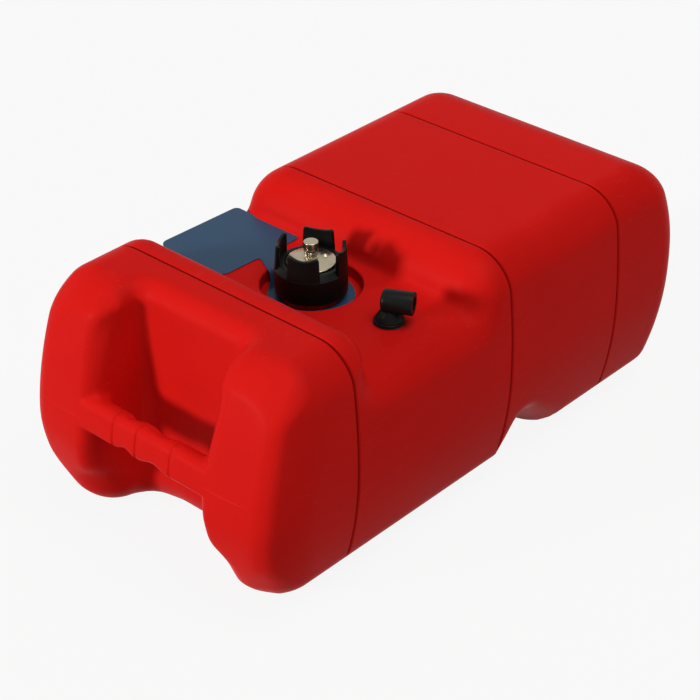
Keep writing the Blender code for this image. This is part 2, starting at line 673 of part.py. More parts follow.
def tank_shell(finish):
    """The moulded body: an outer and an inner skin, the filler pocket and neck, and the grip."""
    bm = bmesh.new()
    skin(bm, 0.0, OUTER_FINE_STEP, OUTER_COARSE_STEP, True)
    skin(bm, -WALL, INNER_FINE_STEP, INNER_COARSE_STEP, False)
    bm.normal_update()
    bmesh.ops.dissolve_limit(bm, angle_limit=FLAT_ANGLE, verts=bm.verts, edges=bm.edges)
    bmesh.ops.triangulate(bm, faces=bm.faces)
    shell = add_object("tank_shell", mesh_from(bm, "tank_shell"), finish)

    pan = ring_profile(0.0, POCKET_RADIUS + WALL, POCKET_FLOOR - WALL, DECK_CORE)
    boolean(shell, helper(turned("pocket_pan", pan, NECK_PLACE)), 'UNION')
    lip = (POCKET_RADIUS + POCKET_LIP_RADIUS, DECK_HEIGHT - POCKET_LIP_RADIUS)
    room = [(0.0, POCKET_FLOOR), (POCKET_RADIUS, POCKET_FLOOR)] + quarter(lip, POCKET_LIP_RADIUS, 180.0, 90.0)
    room += [(lip[0], DECK_HEIGHT + OVERRUN), (0.0, DECK_HEIGHT + OVERRUN)]
    boolean(shell, helper(turned("pocket_room", room, NECK_PLACE)), 'DIFFERENCE')
    neck = ring_profile(0.0, NECK_RADIUS, POCKET_FLOOR - WALL * EMBED_SHARE, NECK_TOP, NECK_EDGE)
    boolean(shell, helper(turned("neck_post", neck, NECK_PLACE)), 'UNION')
    bore = ring_profile(0.0, NECK_BORE_RADIUS, POCKET_FLOOR - WALL - OVERRUN, NECK_TOP + OVERRUN)
    boolean(shell, helper(turned("neck_bore", bore, NECK_PLACE)), 'DIFFERENCE')

    boss = ring_profile(0.0, PORT_BOSS_RADIUS, DECK_UNDERSIDE - PORT_BOSS_DEPTH, DECK_CORE)
    boolean(shell, helper(turned("port_boss", boss, PICKUP_PLACE, SMALL_ROUND_SEGMENTS)), 'UNION')
    port_low = DECK_UNDERSIDE - PORT_BOSS_DEPTH - OVERRUN
    port = ring_profile(0.0, BUSH_BARREL_RADIUS + RUNNING_GAP, port_low, DECK_HEIGHT + OVERRUN)
    boolean(shell, helper(turned("port_hole", port, PICKUP_PLACE, SMALL_ROUND_SEGMENTS)), 'DIFFERENCE')
    boolean(shell, helper(grip_bar()), 'UNION')
    return shell


def cap_prongs():
    """Finger prongs of the cap: curved blocks that stand on its rim, dished along their tops."""
    bm = bmesh.new()
    foot = CAP_PLATE_BOTTOM + CAP_RIM_WIDTH * EMBED_SHARE
    outer = CAP_RADIUS - PRONG_SET_BACK
    for index in range(PRONG_COUNT):
        azimuth = PRONG_FIRST_AZIMUTH + 2 * math.pi * index / PRONG_COUNT
        rings = []
        for step in range(EDGE_STEPS + 1):
            share = 2.0 * step / EDGE_STEPS - 1.0
            tip = PRONG_TIP_HEIGHT - PRONG_DIP * (1.0 - share ** 2)
            ring = []
            for radius, height in ((outer - PRONG_THICKNESS, foot), (outer, foot),
                                   (outer - PRONG_DRAFT, tip), (outer - PRONG_THICKNESS + PRONG_DRAFT, tip)):
                narrow = PRONG_DRAFT * (height - foot) / (PRONG_TIP_HEIGHT - foot) / radius
                angle = azimuth + share * (PRONG_SPAN / 2 - narrow)
                ring.append(bm.verts.new((radius * math.cos(angle), radius * math.sin(angle), height)))
            rings.append(ring)
        for near, far in zip(rings, rings[1:]):
            for i in range(4):
                j = (i + 1) % 4
                bm.faces.new((near[i], near[j], far[j], far[i]))
        bm.faces.new(rings[0])
        bm.faces.new(reversed(rings[-1]))
    bmesh.ops.recalc_face_normals(bm, faces=bm.faces)
    bmesh.ops.translate(bm, verts=bm.verts, vec=Vector(NECK_PLACE))
    return mesh_from(bm, "cap_prongs")


def filler_cap(finish):
    """Screw cap: skirt, top plate with the dome's seat, bevelled rim and four prongs."""
    inner_rim = DOME_SEAT_RADIUS + CAP_RIM_WIDTH
    profile = [(CAP_SOCKET_RADIUS, CAP_BOTTOM), (CAP_RADIUS - CAP_EDGE, CAP_BOTTOM)]
    profile += [(CAP_RADIUS, CAP_BOTTOM + CAP_EDGE), (CAP_RADIUS, CAP_RIM_HEIGHT - CAP_RIM_BEVEL)]
    profile += [(inner_rim, CAP_RIM_HEIGHT), (DOME_SEAT_RADIUS, CAP_RIM_HEIGHT)]
    profile += [(DOME_SEAT_RADIUS, DOME_SEAT), (VENT_HOLE_RADIUS, DOME_SEAT)]
    profile += [(VENT_HOLE_RADIUS, CAP_PLATE_BOTTOM), (CAP_SOCKET_RADIUS, CAP_PLATE_BOTTOM)]
    cap = add_object("filler_cap", turned("filler_cap", profile, NECK_PLACE), finish)
    boolean(cap, helper(cap_prongs()), 'UNION')
    return cap


def cap_gasket(finish):
    """Flat seal between the neck's lip and the cap."""
    profile = ring_profile(NECK_BORE_RADIUS, NECK_RADIUS + GASKET_MARGIN, GASKET_BOTTOM,
                           GASKET_BOTTOM + GASKET_THICKNESS)
    return add_object("cap_gasket", turned("cap_gasket", profile, NECK_PLACE), finish)


def vent_dome(finish):
    """Pressed plate in the cap's seat: a flat brim and a low crown with a hole for the bush."""
    crown = DOME_RADIUS - DOME_BRIM
    steps = EDGE_STEPS
    upper = [(crown + (VENT_HOLE_RADIUS - crown) * i / steps) for i in range(steps + 1)]

    def height(radius):
        share = (crown - radius) / (crown - VENT_HOLE_RADIUS)
        return DOME_RISE * math.sin(share * math.pi / 2)

    top = [(r, DOME_BOTTOM + DOME_THICKNESS + height(r)) for r in upper]
    under = [(r, DOME_BOTTOM + height(r)) for r in reversed(upper)]
    profile = [(DOME_RADIUS, DOME_BOTTOM), (DOME_RADIUS, DOME_BOTTOM + DOME_THICKNESS)] + top + under
    return add_object("vent_dome", turned("vent_dome", profile, NECK_PLACE), finish)


def vent_bush(finish):
    """Riveted bush: it clamps the dome to the cap's plate and guides the vent screw."""
    flange_top = VENT_FLANGE_BOTTOM + VENT_FLANGE_THICKNESS
    profile = [(VENT_BORE_RADIUS, VENT_BUSH_BOTTOM), (VENT_RIVET_RADIUS, VENT_BUSH_BOTTOM)]
    profile += [(VENT_RIVET_RADIUS, VENT_RIVET_TOP), (VENT_BUSH_RADIUS, VENT_RIVET_TOP)]
    profile += [(VENT_BUSH_RADIUS, VENT_FLANGE_BOTTOM), (VENT_FLANGE_RADIUS, VENT_FLANGE_BOTTOM)]
    profile += [(VENT_FLANGE_RADIUS, flange_top), (VENT_BUSH_RADIUS, flange_top)]
    profile += [(VENT_BUSH_RADIUS, VENT_BUSH_TOP), (VENT_BORE_RADIUS, VENT_BUSH_TOP)]
    mesh = turned("vent_bush", profile, NECK_PLACE, SMALL_ROUND_SEGMENTS)
    return add_object("vent_bush", mesh, finish)


def vent_knob(finish):
    """Vent screw: a knob on a stem, with a groove near the tip for the clip."""
    neck = VENT_STEM_RADIUS - VENT_CLIP_GROOVE
    profile = [(0.0, VENT_STEM_BOTTOM), (VENT_STEM_RADIUS, VENT_STEM_BOTTOM)]
    profile += [(VENT_STEM_RADIUS, VENT_CLIP_BOTTOM - SEAT_GAP), (neck, VENT_CLIP_BOTTOM - SEAT_GAP)]
    profile += [(neck, VENT_CLIP_TOP + SEAT_GAP), (VENT_STEM_RADIUS, VENT_CLIP_TOP + SEAT_GAP)]
    profile += [(VENT_STEM_RADIUS, KNOB_BOTTOM), (KNOB_RADIUS - KNOB_EDGE, KNOB_BOTTOM)]
    profile += [(KNOB_RADIUS, KNOB_BOTTOM + KNOB_EDGE), (KNOB_RADIUS, KNOB_TOP - KNOB_EDGE)]
    profile += [(KNOB_RADIUS - KNOB_EDGE, KNOB_TOP), (0.0, KNOB_TOP)]
    mesh = turned("vent_knob", profile, NECK_PLACE, SMALL_ROUND_SEGMENTS)
    return add_object("vent_knob", mesh, finish)


def vent_seal(finish):
    """Seal under the knob, which closes the vent when it is pressed on the bush."""
    profile = ring_profile(VENT_STEM_RADIUS + SEAT_GAP, VENT_SEAL_RADIUS, VENT_SEAL_BOTTOM,
                           VENT_SEAL_BOTTOM + VENT_SEAL_THICKNESS)
    mesh = turned("vent_seal", profile, NECK_PLACE, SMALL_ROUND_SEGMENTS)
    return add_object("vent_seal", mesh, finish)


def vent_clip(finish):
    """Clip in the stem's groove, which stops the screw from coming out."""
    inner = VENT_STEM_RADIUS - VENT_CLIP_GROOVE + SEAT_GAP
    profile = ring_profile(inner, VENT_CLIP_RADIUS, VENT_CLIP_BOTTOM, VENT_CLIP_TOP)
    mesh = turned("vent_clip", profile, NECK_PLACE, SMALL_ROUND_SEGMENTS)
    return add_object("vent_clip", mesh, finish)


def pickup_gasket(finish):
    """Flat seal between the deck and the pickup's flange."""
    profile = ring_profile(BUSH_BARREL_RADIUS + RUNNING_GAP, BUSH_FLANGE_RADIUS - SEAT_GAP,
                           PICKUP_GASKET_BOTTOM, PICKUP_GASKET_BOTTOM + PICKUP_GASKET_THICKNESS)
    mesh = turned("pickup_gasket", profile, PICKUP_PLACE, SMALL_ROUND_SEGMENTS)
    return add_object("pickup_gasket", mesh, finish)


def pickup_bush(finish):
    """Flanged bush through the deck: a domed flange, and a barrel that the elbow turns in."""
    drop = BUSH_FLANGE_HEIGHT / 2
    profile = [(BUSH_BORE_RADIUS, BUSH_END), (BUSH_BARREL_RADIUS - BUSH_EDGE, BUSH_END)]
    profile += [(BUSH_BARREL_RADIUS, BUSH_END + BUSH_EDGE), (BUSH_BARREL_RADIUS, BUSH_BOTTOM)]
    profile += [(BUSH_FLANGE_RADIUS, BUSH_BOTTOM), (BUSH_FLANGE_RADIUS, BUSH_TOP - drop)]
    profile += arc((BUSH_SHOULDER_RADIUS, BUSH_TOP - drop), drop, 50.0, 90.0, LIP_STEPS // 2)
    profile += [(BUSH_BORE_RADIUS, BUSH_TOP)]
    mesh = turned("pickup_bush", profile, PICKUP_PLACE, SMALL_ROUND_SEGMENTS)
    return add_object("pickup_bush", mesh, finish)


def elbow_head():
    """Level barrel of the elbow, with a bevelled back end, along +X before it's turned."""
    profile = [(0.0, -ELBOW_HEAD_BACK), (ELBOW_HEAD_RADIUS - ELBOW_HEAD_EDGE, -ELBOW_HEAD_BACK)]
    profile += [(ELBOW_HEAD_RADIUS, ELBOW_HEAD_EDGE - ELBOW_HEAD_BACK), (ELBOW_HEAD_RADIUS, ELBOW_HEAD_FRONT)]
    profile += [(0.0, ELBOW_HEAD_FRONT)]
    return level_helper("elbow_head", profile)


def level_helper(name, profile):
    """A turned helper laid level at the elbow's axis, pointing along its azimuth."""
    mesh = turned(name, profile, (0.0, 0.0, 0.0), SMALL_ROUND_SEGMENTS)
    lay = Matrix.Rotation(math.pi / 2, 4, 'Y')
    turn = Matrix.Rotation(ELBOW_AZIMUTH, 4, 'Z')
    place = Matrix.Translation((PICKUP_X, PICKUP_Y, ELBOW_AXIS_HEIGHT))
    mesh.transform(place @ turn @ lay)
    return helper(mesh)


def pickup_elbow(finish):
    """Swivel elbow: a spigot in the bush, a waisted stem, the head with its hose port, and a barb."""
    groove_low, groove_high = ORING_HEIGHT - ORING_GROOVE_HALF, ORING_HEIGHT + ORING_GROOVE_HALF
    barb_end = DIP_TUBE_TOP - ELBOW_BARB_LENGTH
    profile = [(0.0, barb_end), (ELBOW_BARB_RADIUS, barb_end), (ELBOW_BARB_RADIUS, SPIGOT_BOTTOM)]
    profile += [(ELBOW_SPIGOT_RADIUS, SPIGOT_BOTTOM), (ELBOW_SPIGOT_RADIUS, RETAINER_BOTTOM - SEAT_GAP)]
    profile += [(RETAINER_GROOVE_RADIUS, RETAINER_BOTTOM - SEAT_GAP), (RETAINER_GROOVE_RADIUS, RETAINER_TOP)]
    profile += [(ELBOW_SPIGOT_RADIUS, RETAINER_TOP), (ELBOW_SPIGOT_RADIUS, groove_low)]
    profile += [(ORING_GROOVE_RADIUS, groove_low), (ORING_GROOVE_RADIUS, groove_high)]
    profile += [(ELBOW_SPIGOT_RADIUS, groove_high), (ELBOW_SPIGOT_RADIUS, ELBOW_STEM_BOTTOM)]
    waist = ELBOW_AXIS_HEIGHT - ELBOW_HEAD_RADIUS / 2
    profile += [(ELBOW_STEM_RADIUS, ELBOW_STEM_BOTTOM), (ELBOW_WAIST_RADIUS, waist)]
    profile += [(ELBOW_WAIST_RADIUS, ELBOW_AXIS_HEIGHT), (0.0, ELBOW_AXIS_HEIGHT)]
    mesh = turned("pickup_elbow", profile, PICKUP_PLACE, SMALL_ROUND_SEGMENTS)
    elbow = add_object("pickup_elbow", mesh, finish)
    boolean(elbow, elbow_head(), 'UNION')
    port_start = ELBOW_HEAD_FRONT - ELBOW_PORT_DEPTH
    port = ring_profile(0.0, ELBOW_PORT_RADIUS, port_start, ELBOW_HEAD_FRONT + OVERRUN)
    boolean(elbow, level_helper("elbow_port", port), 'DIFFERENCE')
    way = ring_profile(0.0, ELBOW_BORE_RADIUS, 0.0, port_start + OVERRUN)
    boolean(elbow, level_helper("elbow_way", way), 'DIFFERENCE')
    bore = ring_profile(0.0, ELBOW_BORE_RADIUS, barb_end - OVERRUN, ELBOW_AXIS_HEIGHT)
    boolean(elbow, helper(turned("elbow_bore", bore, PICKUP_PLACE, SMALL_ROUND_SEGMENTS)), 'DIFFERENCE')
    return elbow


def elbow_oring(finish):
    """O-ring in the spigot's groove."""
    steps = 2 * LIP_STEPS
    profile = arc((ORING_CENTRE_RADIUS, ORING_HEIGHT), ORING_RADIUS, 0.0, 360.0, steps)[:-1]
    mesh = turned("elbow_oring", profile, PICKUP_PLACE, SMALL_ROUND_SEGMENTS)
    return add_object("elbow_oring", mesh, finish)


def elbow_retainer(finish):
    """Retaining ring under the bush, in the spigot's lower groove."""
    profile = ring_profile(RETAINER_GROOVE_RADIUS + SEAT_GAP, RETAINER_RADIUS, RETAINER_BOTTOM, RETAINER_TOP)
    mesh = turned("elbow_retainer", profile, PICKUP_PLACE, SMALL_ROUND_SEGMENTS)
    return add_object("elbow_retainer", mesh, finish)


def dip_tube(finish):
    """Tube from the elbow's barb down to the strainer."""
    profile = ring_profile(DIP_TUBE_BORE_RADIUS, DIP_TUBE_RADIUS, DIP_TUBE_BOTTOM, DIP_TUBE_TOP)
    mesh = turned("dip_tube", profile, PICKUP_PLACE, SMALL_ROUND_SEGMENTS)
    return add_object("dip_tube", mesh, finish)


def tube_clamp(finish):
    """Band that holds the tube on the barb."""
    outer = CLAMP_BORE_RADIUS + CLAMP_THICKNESS
    profile = ring_profile(CLAMP_BORE_RADIUS, outer, CLAMP_TOP - CLAMP_LENGTH, CLAMP_TOP)
    mesh = turned("tube_clamp", profile, PICKUP_PLACE, SMALL_ROUND_SEGMENTS)
    return add_object("tube_clamp", mesh, finish)


def strainer_windows():
    """Cutters for the strainer's windows: one wedge ring per window."""
    bm = bmesh.new()
    low = STRAINER_BOTTOM + STRAINER_WALL + STRAINER_BAR
    high = STRAINER_TOP - STRAINER_NECK_LENGTH - STRAINER_BAR
    inner, outer = STRAINER_RADIUS - STRAINER_WALL - SEAT_GAP, STRAINER_RADIUS + OVERRUN
    for index in range(STRAINER_WINDOW_COUNT):
        middle = 2 * math.pi * index / STRAINER_WINDOW_COUNT
        corners = []
        for angle in (middle - STRAINER_WINDOW_SPAN / 2, middle + STRAINER_WINDOW_SPAN / 2):
            for radius in (inner, outer):
                for height in (low, high):
                    place = (radius * math.cos(angle), radius * math.sin(angle), height)
                    corners.append(bm.verts.new(place))
        bmesh.ops.convex_hull(bm, input=corners)
    bmesh.ops.recalc_face_normals(bm, faces=bm.faces)
    bmesh.ops.translate(bm, verts=bm.verts, vec=Vector(PICKUP_PLACE))
    return mesh_from(bm, "strainer_windows")


def pickup_strainer(finish):
    """Strainer cage on the tube's end, with windows for its mesh."""
    shoulder = STRAINER_TOP - STRAINER_NECK_LENGTH
    inner = STRAINER_RADIUS - STRAINER_WALL
    profile = [(0.0, STRAINER_BOTTOM), (STRAINER_RADIUS, STRAINER_BOTTOM), (STRAINER_RADIUS, shoulder)]
    profile += [(STRAINER_NECK_RADIUS, shoulder + STRAINER_WALL), (STRAINER_NECK_RADIUS, STRAINER_TOP)]
    profile += [(STRAINER_NECK_BORE_RADIUS, STRAINER_TOP), (STRAINER_NECK_BORE_RADIUS, shoulder - SEAT_GAP)]
    profile += [(DIP_TUBE_BORE_RADIUS, shoulder - SEAT_GAP), (DIP_TUBE_BORE_RADIUS, shoulder - STRAINER_WALL)]
    profile += [(inner, shoulder - STRAINER_WALL), (inner, STRAINER_BOTTOM + STRAINER_WALL)]
    profile += [(0.0, STRAINER_BOTTOM + STRAINER_WALL)]
    mesh = turned("pickup_strainer", profile, PICKUP_PLACE, SMALL_ROUND_SEGMENTS)
    cage = add_object("pickup_strainer", mesh, finish)
    boolean(cage, helper(strainer_windows()), 'DIFFERENCE')
    return cage


def tag_height(y):
    """Height of the tag's underside: flat in the pocket, a ramp, then flat on the deck."""
    share = min(max((y - TAG_RAMP_START) / TAG_RAMP_LENGTH, 0.0), 1.0)
    return POCKET_FLOOR + SEAT_GAP + (DECK_HEIGHT - POCKET_FLOOR) * share


def tag_outline():
    """Plan of the tag round the neck's centre: ring, strip with filleted roots, and card."""
    half, corner = TAG_STRIP_WIDTH / 2, TAG_CORNER_RADIUS
    left, right = TAG_CARD_SHIFT - TAG_CARD_WIDTH / 2, TAG_CARD_SHIFT + TAG_CARD_WIDTH / 2
    start = math.degrees(math.acos(half / TAG_RING_RADIUS))
    points = arc((0.0, 0.0), TAG_RING_RADIUS, 180.0 - start, 360.0 + start, ROUND_SEGMENTS - EDGE_STEPS)
    inside = TAG_CARD_START - corner
    points += quarter((half + corner, inside), corner, 180.0, 90.0)
    points += quarter((right - corner, TAG_CARD_START + corner), corner, -90.0, 0.0)
    points += quarter((right - corner, TAG_CARD_END - corner), corner, 0.0, 90.0)
    points += quarter((left + corner, TAG_CARD_END - corner), corner, 90.0, 180.0)
    points += quarter((left + corner, TAG_CARD_START + corner), corner, 180.0, 270.0)
    points += quarter((-half - corner, inside), corner, 90.0, 0.0)
    return points


def neck_tag(finish):
    """Loose tag: its outline is filled in plan, bent along two lines and given its thickness."""
    flat = bmesh.new()
    hole = arc((0.0, 0.0), TAG_HOLE_RADIUS, 0.0, 360.0, ROUND_SEGMENTS)[:-1]
    for loop in (tag_outline(), hole):
        verts = [flat.verts.new((x, y, 0.0)) for x, y in loop]
        for near, far in zip(verts, verts[1:] + verts[:1]):
            flat.edges.new((near, far))
    bmesh.ops.triangle_fill(flat, use_beauty=True, use_dissolve=False, edges=flat.edges)
    for line in (TAG_RAMP_START, TAG_RAMP_START + TAG_RAMP_LENGTH):
        geometry = flat.verts[:] + flat.edges[:] + flat.faces[:]
        bmesh.ops.bisect_plane(flat, geom=geometry, plane_co=(0.0, line, 0.0), plane_no=(0.0, 1.0, 0.0))
    bmesh.ops.triangulate(flat, faces=flat.faces)
    sheet = bmesh.new()
    flat.verts.index_update()
    flat.verts.ensure_lookup_table()
    low, high = [], []
    for vert in flat.verts:
        base = tag_height(vert.co.y)
        place = Vector((NECK_X + vert.co.x, vert.co.y, base))
        low.append(sheet.verts.new(place))
        high.append(sheet.verts.new(place + Vector((0.0, 0.0, TAG_THICKNESS))))
    for face in flat.faces:
        corners = [vert.index for vert in face.verts]
        if face.normal.z < 0.0:
            corners.reverse()
        sheet.faces.new([high[i] for i in corners])
        sheet.faces.new([low[i] for i in reversed(corners)])
        for near, far in zip(corners, corners[1:] + corners[:1]):
            edge = flat.edges.get((flat.verts[near], flat.verts[far]))
            if len(edge.link_faces) == 1:
                sheet.faces.new((low[near], low[far], high[far], high[near]))
    flat.free()
    return add_object("neck_tag", mesh_from(sheet, "neck_tag"), finish)


def build():
    """Make every piece of the tank."""
    clear_scene()
    red = material("red_polyethylene", (0.60, 0.012, 0.010), 0.42)
    black = material("black_nylon", (0.012, 0.012, 0.013), 0.38)
    rubber = material("black_rubber", (0.02, 0.02, 0.02), 0.75)
    steel = material("bright_steel", (0.72, 0.68, 0.62), 0.28, 1.0)
    tube = material("clear_grey_tube", (0.45, 0.45, 0.42), 0.4)
    card = material("blue_card", (0.035, 0.09, 0.19), 0.45)
    tank_shell(red)
    filler_cap(black)
    cap_gasket(rubber)
    vent_dome(steel)
    vent_bush(steel)
    vent_knob(steel)
    vent_seal(rubber)
    vent_clip(steel)
    pickup_gasket(rubber)
    pickup_bush(black)
    pickup_elbow(black)
    elbow_oring(rubber)
    elbow_retainer(steel)
    dip_tube(tube)
    tube_clamp(steel)
    pickup_strainer(black)
    neck_tag(card)


build()
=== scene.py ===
# %% [markdown]
# # A red fuel tank for an outboard motor
#
# The tank is blow moulded: a hot plastic tube is closed in a mould and blown out against its
# walls. So the body is one thin shell with generous rounds, a faint grain from the mould and a
# line where the mould's halves met. The cap, vent and pickup are separate pieces.
#
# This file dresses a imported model. Everything is in metres, with +Z up and the grip at the -X
# end.

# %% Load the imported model
import math

import bmesh
import bpy
import numpy as np
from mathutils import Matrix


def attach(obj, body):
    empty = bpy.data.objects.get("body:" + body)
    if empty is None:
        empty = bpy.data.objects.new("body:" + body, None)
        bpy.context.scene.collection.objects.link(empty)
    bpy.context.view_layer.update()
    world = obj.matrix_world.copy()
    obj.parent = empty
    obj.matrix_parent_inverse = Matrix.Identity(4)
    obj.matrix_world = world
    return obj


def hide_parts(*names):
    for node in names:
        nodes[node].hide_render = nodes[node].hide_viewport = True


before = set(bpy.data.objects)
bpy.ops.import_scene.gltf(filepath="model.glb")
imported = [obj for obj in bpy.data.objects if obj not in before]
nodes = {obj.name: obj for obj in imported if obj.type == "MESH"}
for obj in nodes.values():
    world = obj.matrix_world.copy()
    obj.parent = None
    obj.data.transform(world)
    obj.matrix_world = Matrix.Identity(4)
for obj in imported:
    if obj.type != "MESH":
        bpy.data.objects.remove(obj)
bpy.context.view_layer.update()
print("nodes:", ", ".join(sorted(nodes)))

# %% [markdown]
# ## Camera
#
# The photograph looks down on the grip end from the pickup side. Its place was found by
# fitting the tank's outline to the picture. A long lens keeps the far end from shrinking.

# %% Camera at the photograph's angle
CAMERA_PLACE = (-1.1431, -1.0187, 1.0635)
CAMERA_AZIMUTH = math.radians(-47.79)
CAMERA_ELEVATION = math.radians(32.52)
LENS_MM, SENSOR_MM = 105.34, 36.0

camera_data = bpy.data.cameras.new("camera")
camera_data.lens = LENS_MM
camera_data.sensor_width = SENSOR_MM
camera = bpy.data.objects.new("camera", camera_data)
camera.location = CAMERA_PLACE
camera.rotation_euler = (math.pi / 2 - CAMERA_ELEVATION, 0.0, CAMERA_AZIMUTH)
bpy.context.scene.collection.objects.link(camera)
bpy.context.scene.camera = camera
print("camera at", CAMERA_PLACE)

# %% [markdown]
# ## Light, floor and backdrop
#
# One low sun on the grip end makes the bright facets and the long shadow of the cap's prongs
# on the slope behind them. A weak sun from the pickup side and an even sky open the shadows.
# Lamps with an area could give the same, but a sun needs no place and its shadow has one
# softness everywhere. The camera sees a pale backdrop round the tank, and so do reflections
# and glass, but the light that falls on the tank stays an even grey.

# %% Suns
def sun(name, towards, strength, width):
    """A sun lamp that shines from the direction towards, as wide in the sky as width in degrees."""
    data = bpy.data.lights.new(name, 'SUN')
    data.energy = strength
    data.angle = math.radians(width)
    lamp = bpy.data.objects.new(name, data)
    x, y, z = towards
    lamp.rotation_euler = (math.atan2(math.hypot(x, y), z), 0.0, math.atan2(x, -y))
    bpy.context.scene.collection.objects.link(lamp)
    return lamp


KEY = sun("key_sun", (-0.90, 0.35, 0.265), 2.20, 11.0)
FILL = sun("fill_sun", (0.0, -0.32, 1.0), 1.46, 40.0)
print("suns:", KEY.name, FILL.name)

# %% Sky: pale to the camera and in reflections, and an even grey light on the tank
SKY_LIGHT, SKY_SEEN = 0.27, 1.0
world = bpy.data.worlds.new("studio")
world.use_nodes = True
bpy.context.scene.world = world
tree = world.node_tree
tree.nodes.clear()
path = tree.nodes.new("ShaderNodeLightPath")
seen = tree.nodes.new("ShaderNodeMath")
seen.operation = 'ADD'
tree.links.new(path.outputs["Is Camera Ray"], seen.inputs[0])
tree.links.new(path.outputs["Is Transmission Ray"], seen.inputs[1])
shown = tree.nodes.new("ShaderNodeMath")
shown.operation = 'ADD'
shown.use_clamp = True
tree.links.new(seen.outputs[0], shown.inputs[0])
tree.links.new(path.outputs["Is Glossy Ray"], shown.inputs[1])
light = tree.nodes.new("ShaderNodeBackground")
light.inputs["Strength"].default_value = SKY_LIGHT
backdrop = tree.nodes.new("ShaderNodeBackground")
backdrop.inputs["Strength"].default_value = SKY_SEEN
mix = tree.nodes.new("ShaderNodeMixShader")
tree.links.new(shown.outputs[0], mix.inputs[0])
tree.links.new(light.outputs[0], mix.inputs[1])
tree.links.new(backdrop.outputs[0], mix.inputs[2])
output = tree.nodes.new("ShaderNodeOutputWorld")
tree.links.new(mix.outputs[0], output.inputs["Surface"])
print("sky ready")

# %% Floor: a plain sheet that keeps a faint shadow
def grid_faces(index):
    """One face for each square of a grid of vertex numbers."""
    corners = [index[:-1, :-1], index[1:, :-1], index[1:, 1:], index[:-1, 1:]]
    return np.stack(corners, axis=-1).reshape(-1, 4)


def grid_mesh(name, x, y, z):
    """A mesh from three equal two-dimensional arrays: one vertex per entry, one face per square."""
    mesh = bpy.data.meshes.new(name)
    points = np.stack([x, y, z], axis=-1).reshape(-1, 3)
    mesh.from_pydata(points, [], grid_faces(np.arange(x.size).reshape(x.shape)))
    mesh.update()
    return mesh


FLOOR_HALF, PALE_SHARE, FLOOR_GREY = 4.0, 0.90, 0.50
steps = np.linspace(-FLOOR_HALF, FLOOR_HALF, 3)
across, along = np.meshgrid(steps, steps, indexing='ij')
floor = bpy.data.objects.new("floor", grid_mesh("floor", across, along, 0.0 * across))
bpy.context.scene.collection.objects.link(floor)
pale = bpy.data.materials.new("pale_floor")
pale.use_nodes = True
tree = pale.node_tree
tree.nodes.clear()
path = tree.nodes.new("ShaderNodeLightPath")
seen = tree.nodes.new("ShaderNodeMath")
seen.operation = 'MAXIMUM'
tree.links.new(path.outputs["Is Camera Ray"], seen.inputs[0])
tree.links.new(path.outputs["Is Glossy Ray"], seen.inputs[1])
share = tree.nodes.new("ShaderNodeMath")
share.operation = 'MULTIPLY'
share.inputs[1].default_value = PALE_SHARE
tree.links.new(seen.outputs[0], share.inputs[0])
paint = tree.nodes.new("ShaderNodeBsdfDiffuse")
paint.inputs["Color"].default_value = (FLOOR_GREY, FLOOR_GREY, FLOOR_GREY, 1.0)
glow = tree.nodes.new("ShaderNodeEmission")
mix = tree.nodes.new("ShaderNodeMixShader")
tree.links.new(share.outputs[0], mix.inputs[0])
tree.links.new(paint.outputs[0], mix.inputs[1])
tree.links.new(glow.outputs[0], mix.inputs[2])
output = tree.nodes.new("ShaderNodeOutputMaterial")
tree.links.new(mix.outputs[0], output.inputs["Surface"])
floor.data.materials.append(pale)
print("floor", len(floor.data.polygons), "faces")

# %% [markdown]
# ## The moulded body
#
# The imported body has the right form, but its flat faces show from this near, so a finer skin of
# the same form stands for it. A loft would need a patch for each wall and each round, and they
# would have to meet. A distance function needs no patches: for any place it tells how far away
# the outline of the plastic is, and it is below zero inside. Each wall is a short formula, and
# two walls join with a fillet of any radius.

# %% Joining two distances
def round_max(a, b, radius):
    """What lies inside both surfaces: the larger distance, and an arc of the radius at their edge."""
    u = np.maximum(a + radius, 0.0)
    v = np.maximum(b + radius, 0.0)
    return np.minimum(np.maximum(a, b), -radius) + np.hypot(u, v)


def round_min(a, b, radius):
    """What lies inside either surface: the smaller distance, and an arc in their corner."""
    return -round_max(-a, -b, radius)


def ease(share):
    """A smooth step: 3 t squared less 2 t cubed, for t from 0 to 1."""
    t = np.clip(share, 0.0, 1.0)
    return t * t * (3.0 - 2.0 * t)


print("a square corner keeps", round(float(1.0 - round_max(0.5, 0.5, 0.5)), 3), "of 1 at a radius of 0.5")

# %% Sizes of the body, in metres
LENGTH, WIDTH, HEIGHT, WALL = 0.5448, 0.2909, 0.2227, 0.0038
HALF_LENGTH, HALF_WIDTH = LENGTH / 2, WIDTH / 2
DECK = 0.1861
STEP_X, RISE_X = -0.1404, -0.0159
RECESS_X, RECESS_HALF_WIDTH = -0.205, 0.062
CHANNEL_FRONT, CHANNEL_REAR, CHANNEL_ROOF = 0.0480, 0.1050, 0.0800
CHANNEL_SLOPE = math.radians(51.8)
RING_PLACES = (-0.1692, 0.0239, 0.1733)
RING_HALF, RING_DEPTH = 0.0019, 0.0021
PARTING, PARTING_HALF, PARTING_BEAD = 0.1172, 0.0009, 0.00030
print("body", LENGTH, "by", WIDTH, "by", HEIGHT, "m")

# %% [markdown]
# No wall of a blown tank is quite flat or plumb. Each bows out most at one height, its crown,
# and leans in above and below it, so that the mould opens and the plastic holds its shape. Flat
# walls with a taper would be simpler, but the light would run over them too evenly. A wall is
# given by four numbers: the crown's height, how far the wall has moved in at the tank's top and
# at its foot, and a power, which is 2 for an even bow and less for straighter flanks. Seen from
# above, the front end also bows back towards its corners, and a flat cheek takes off each corner.

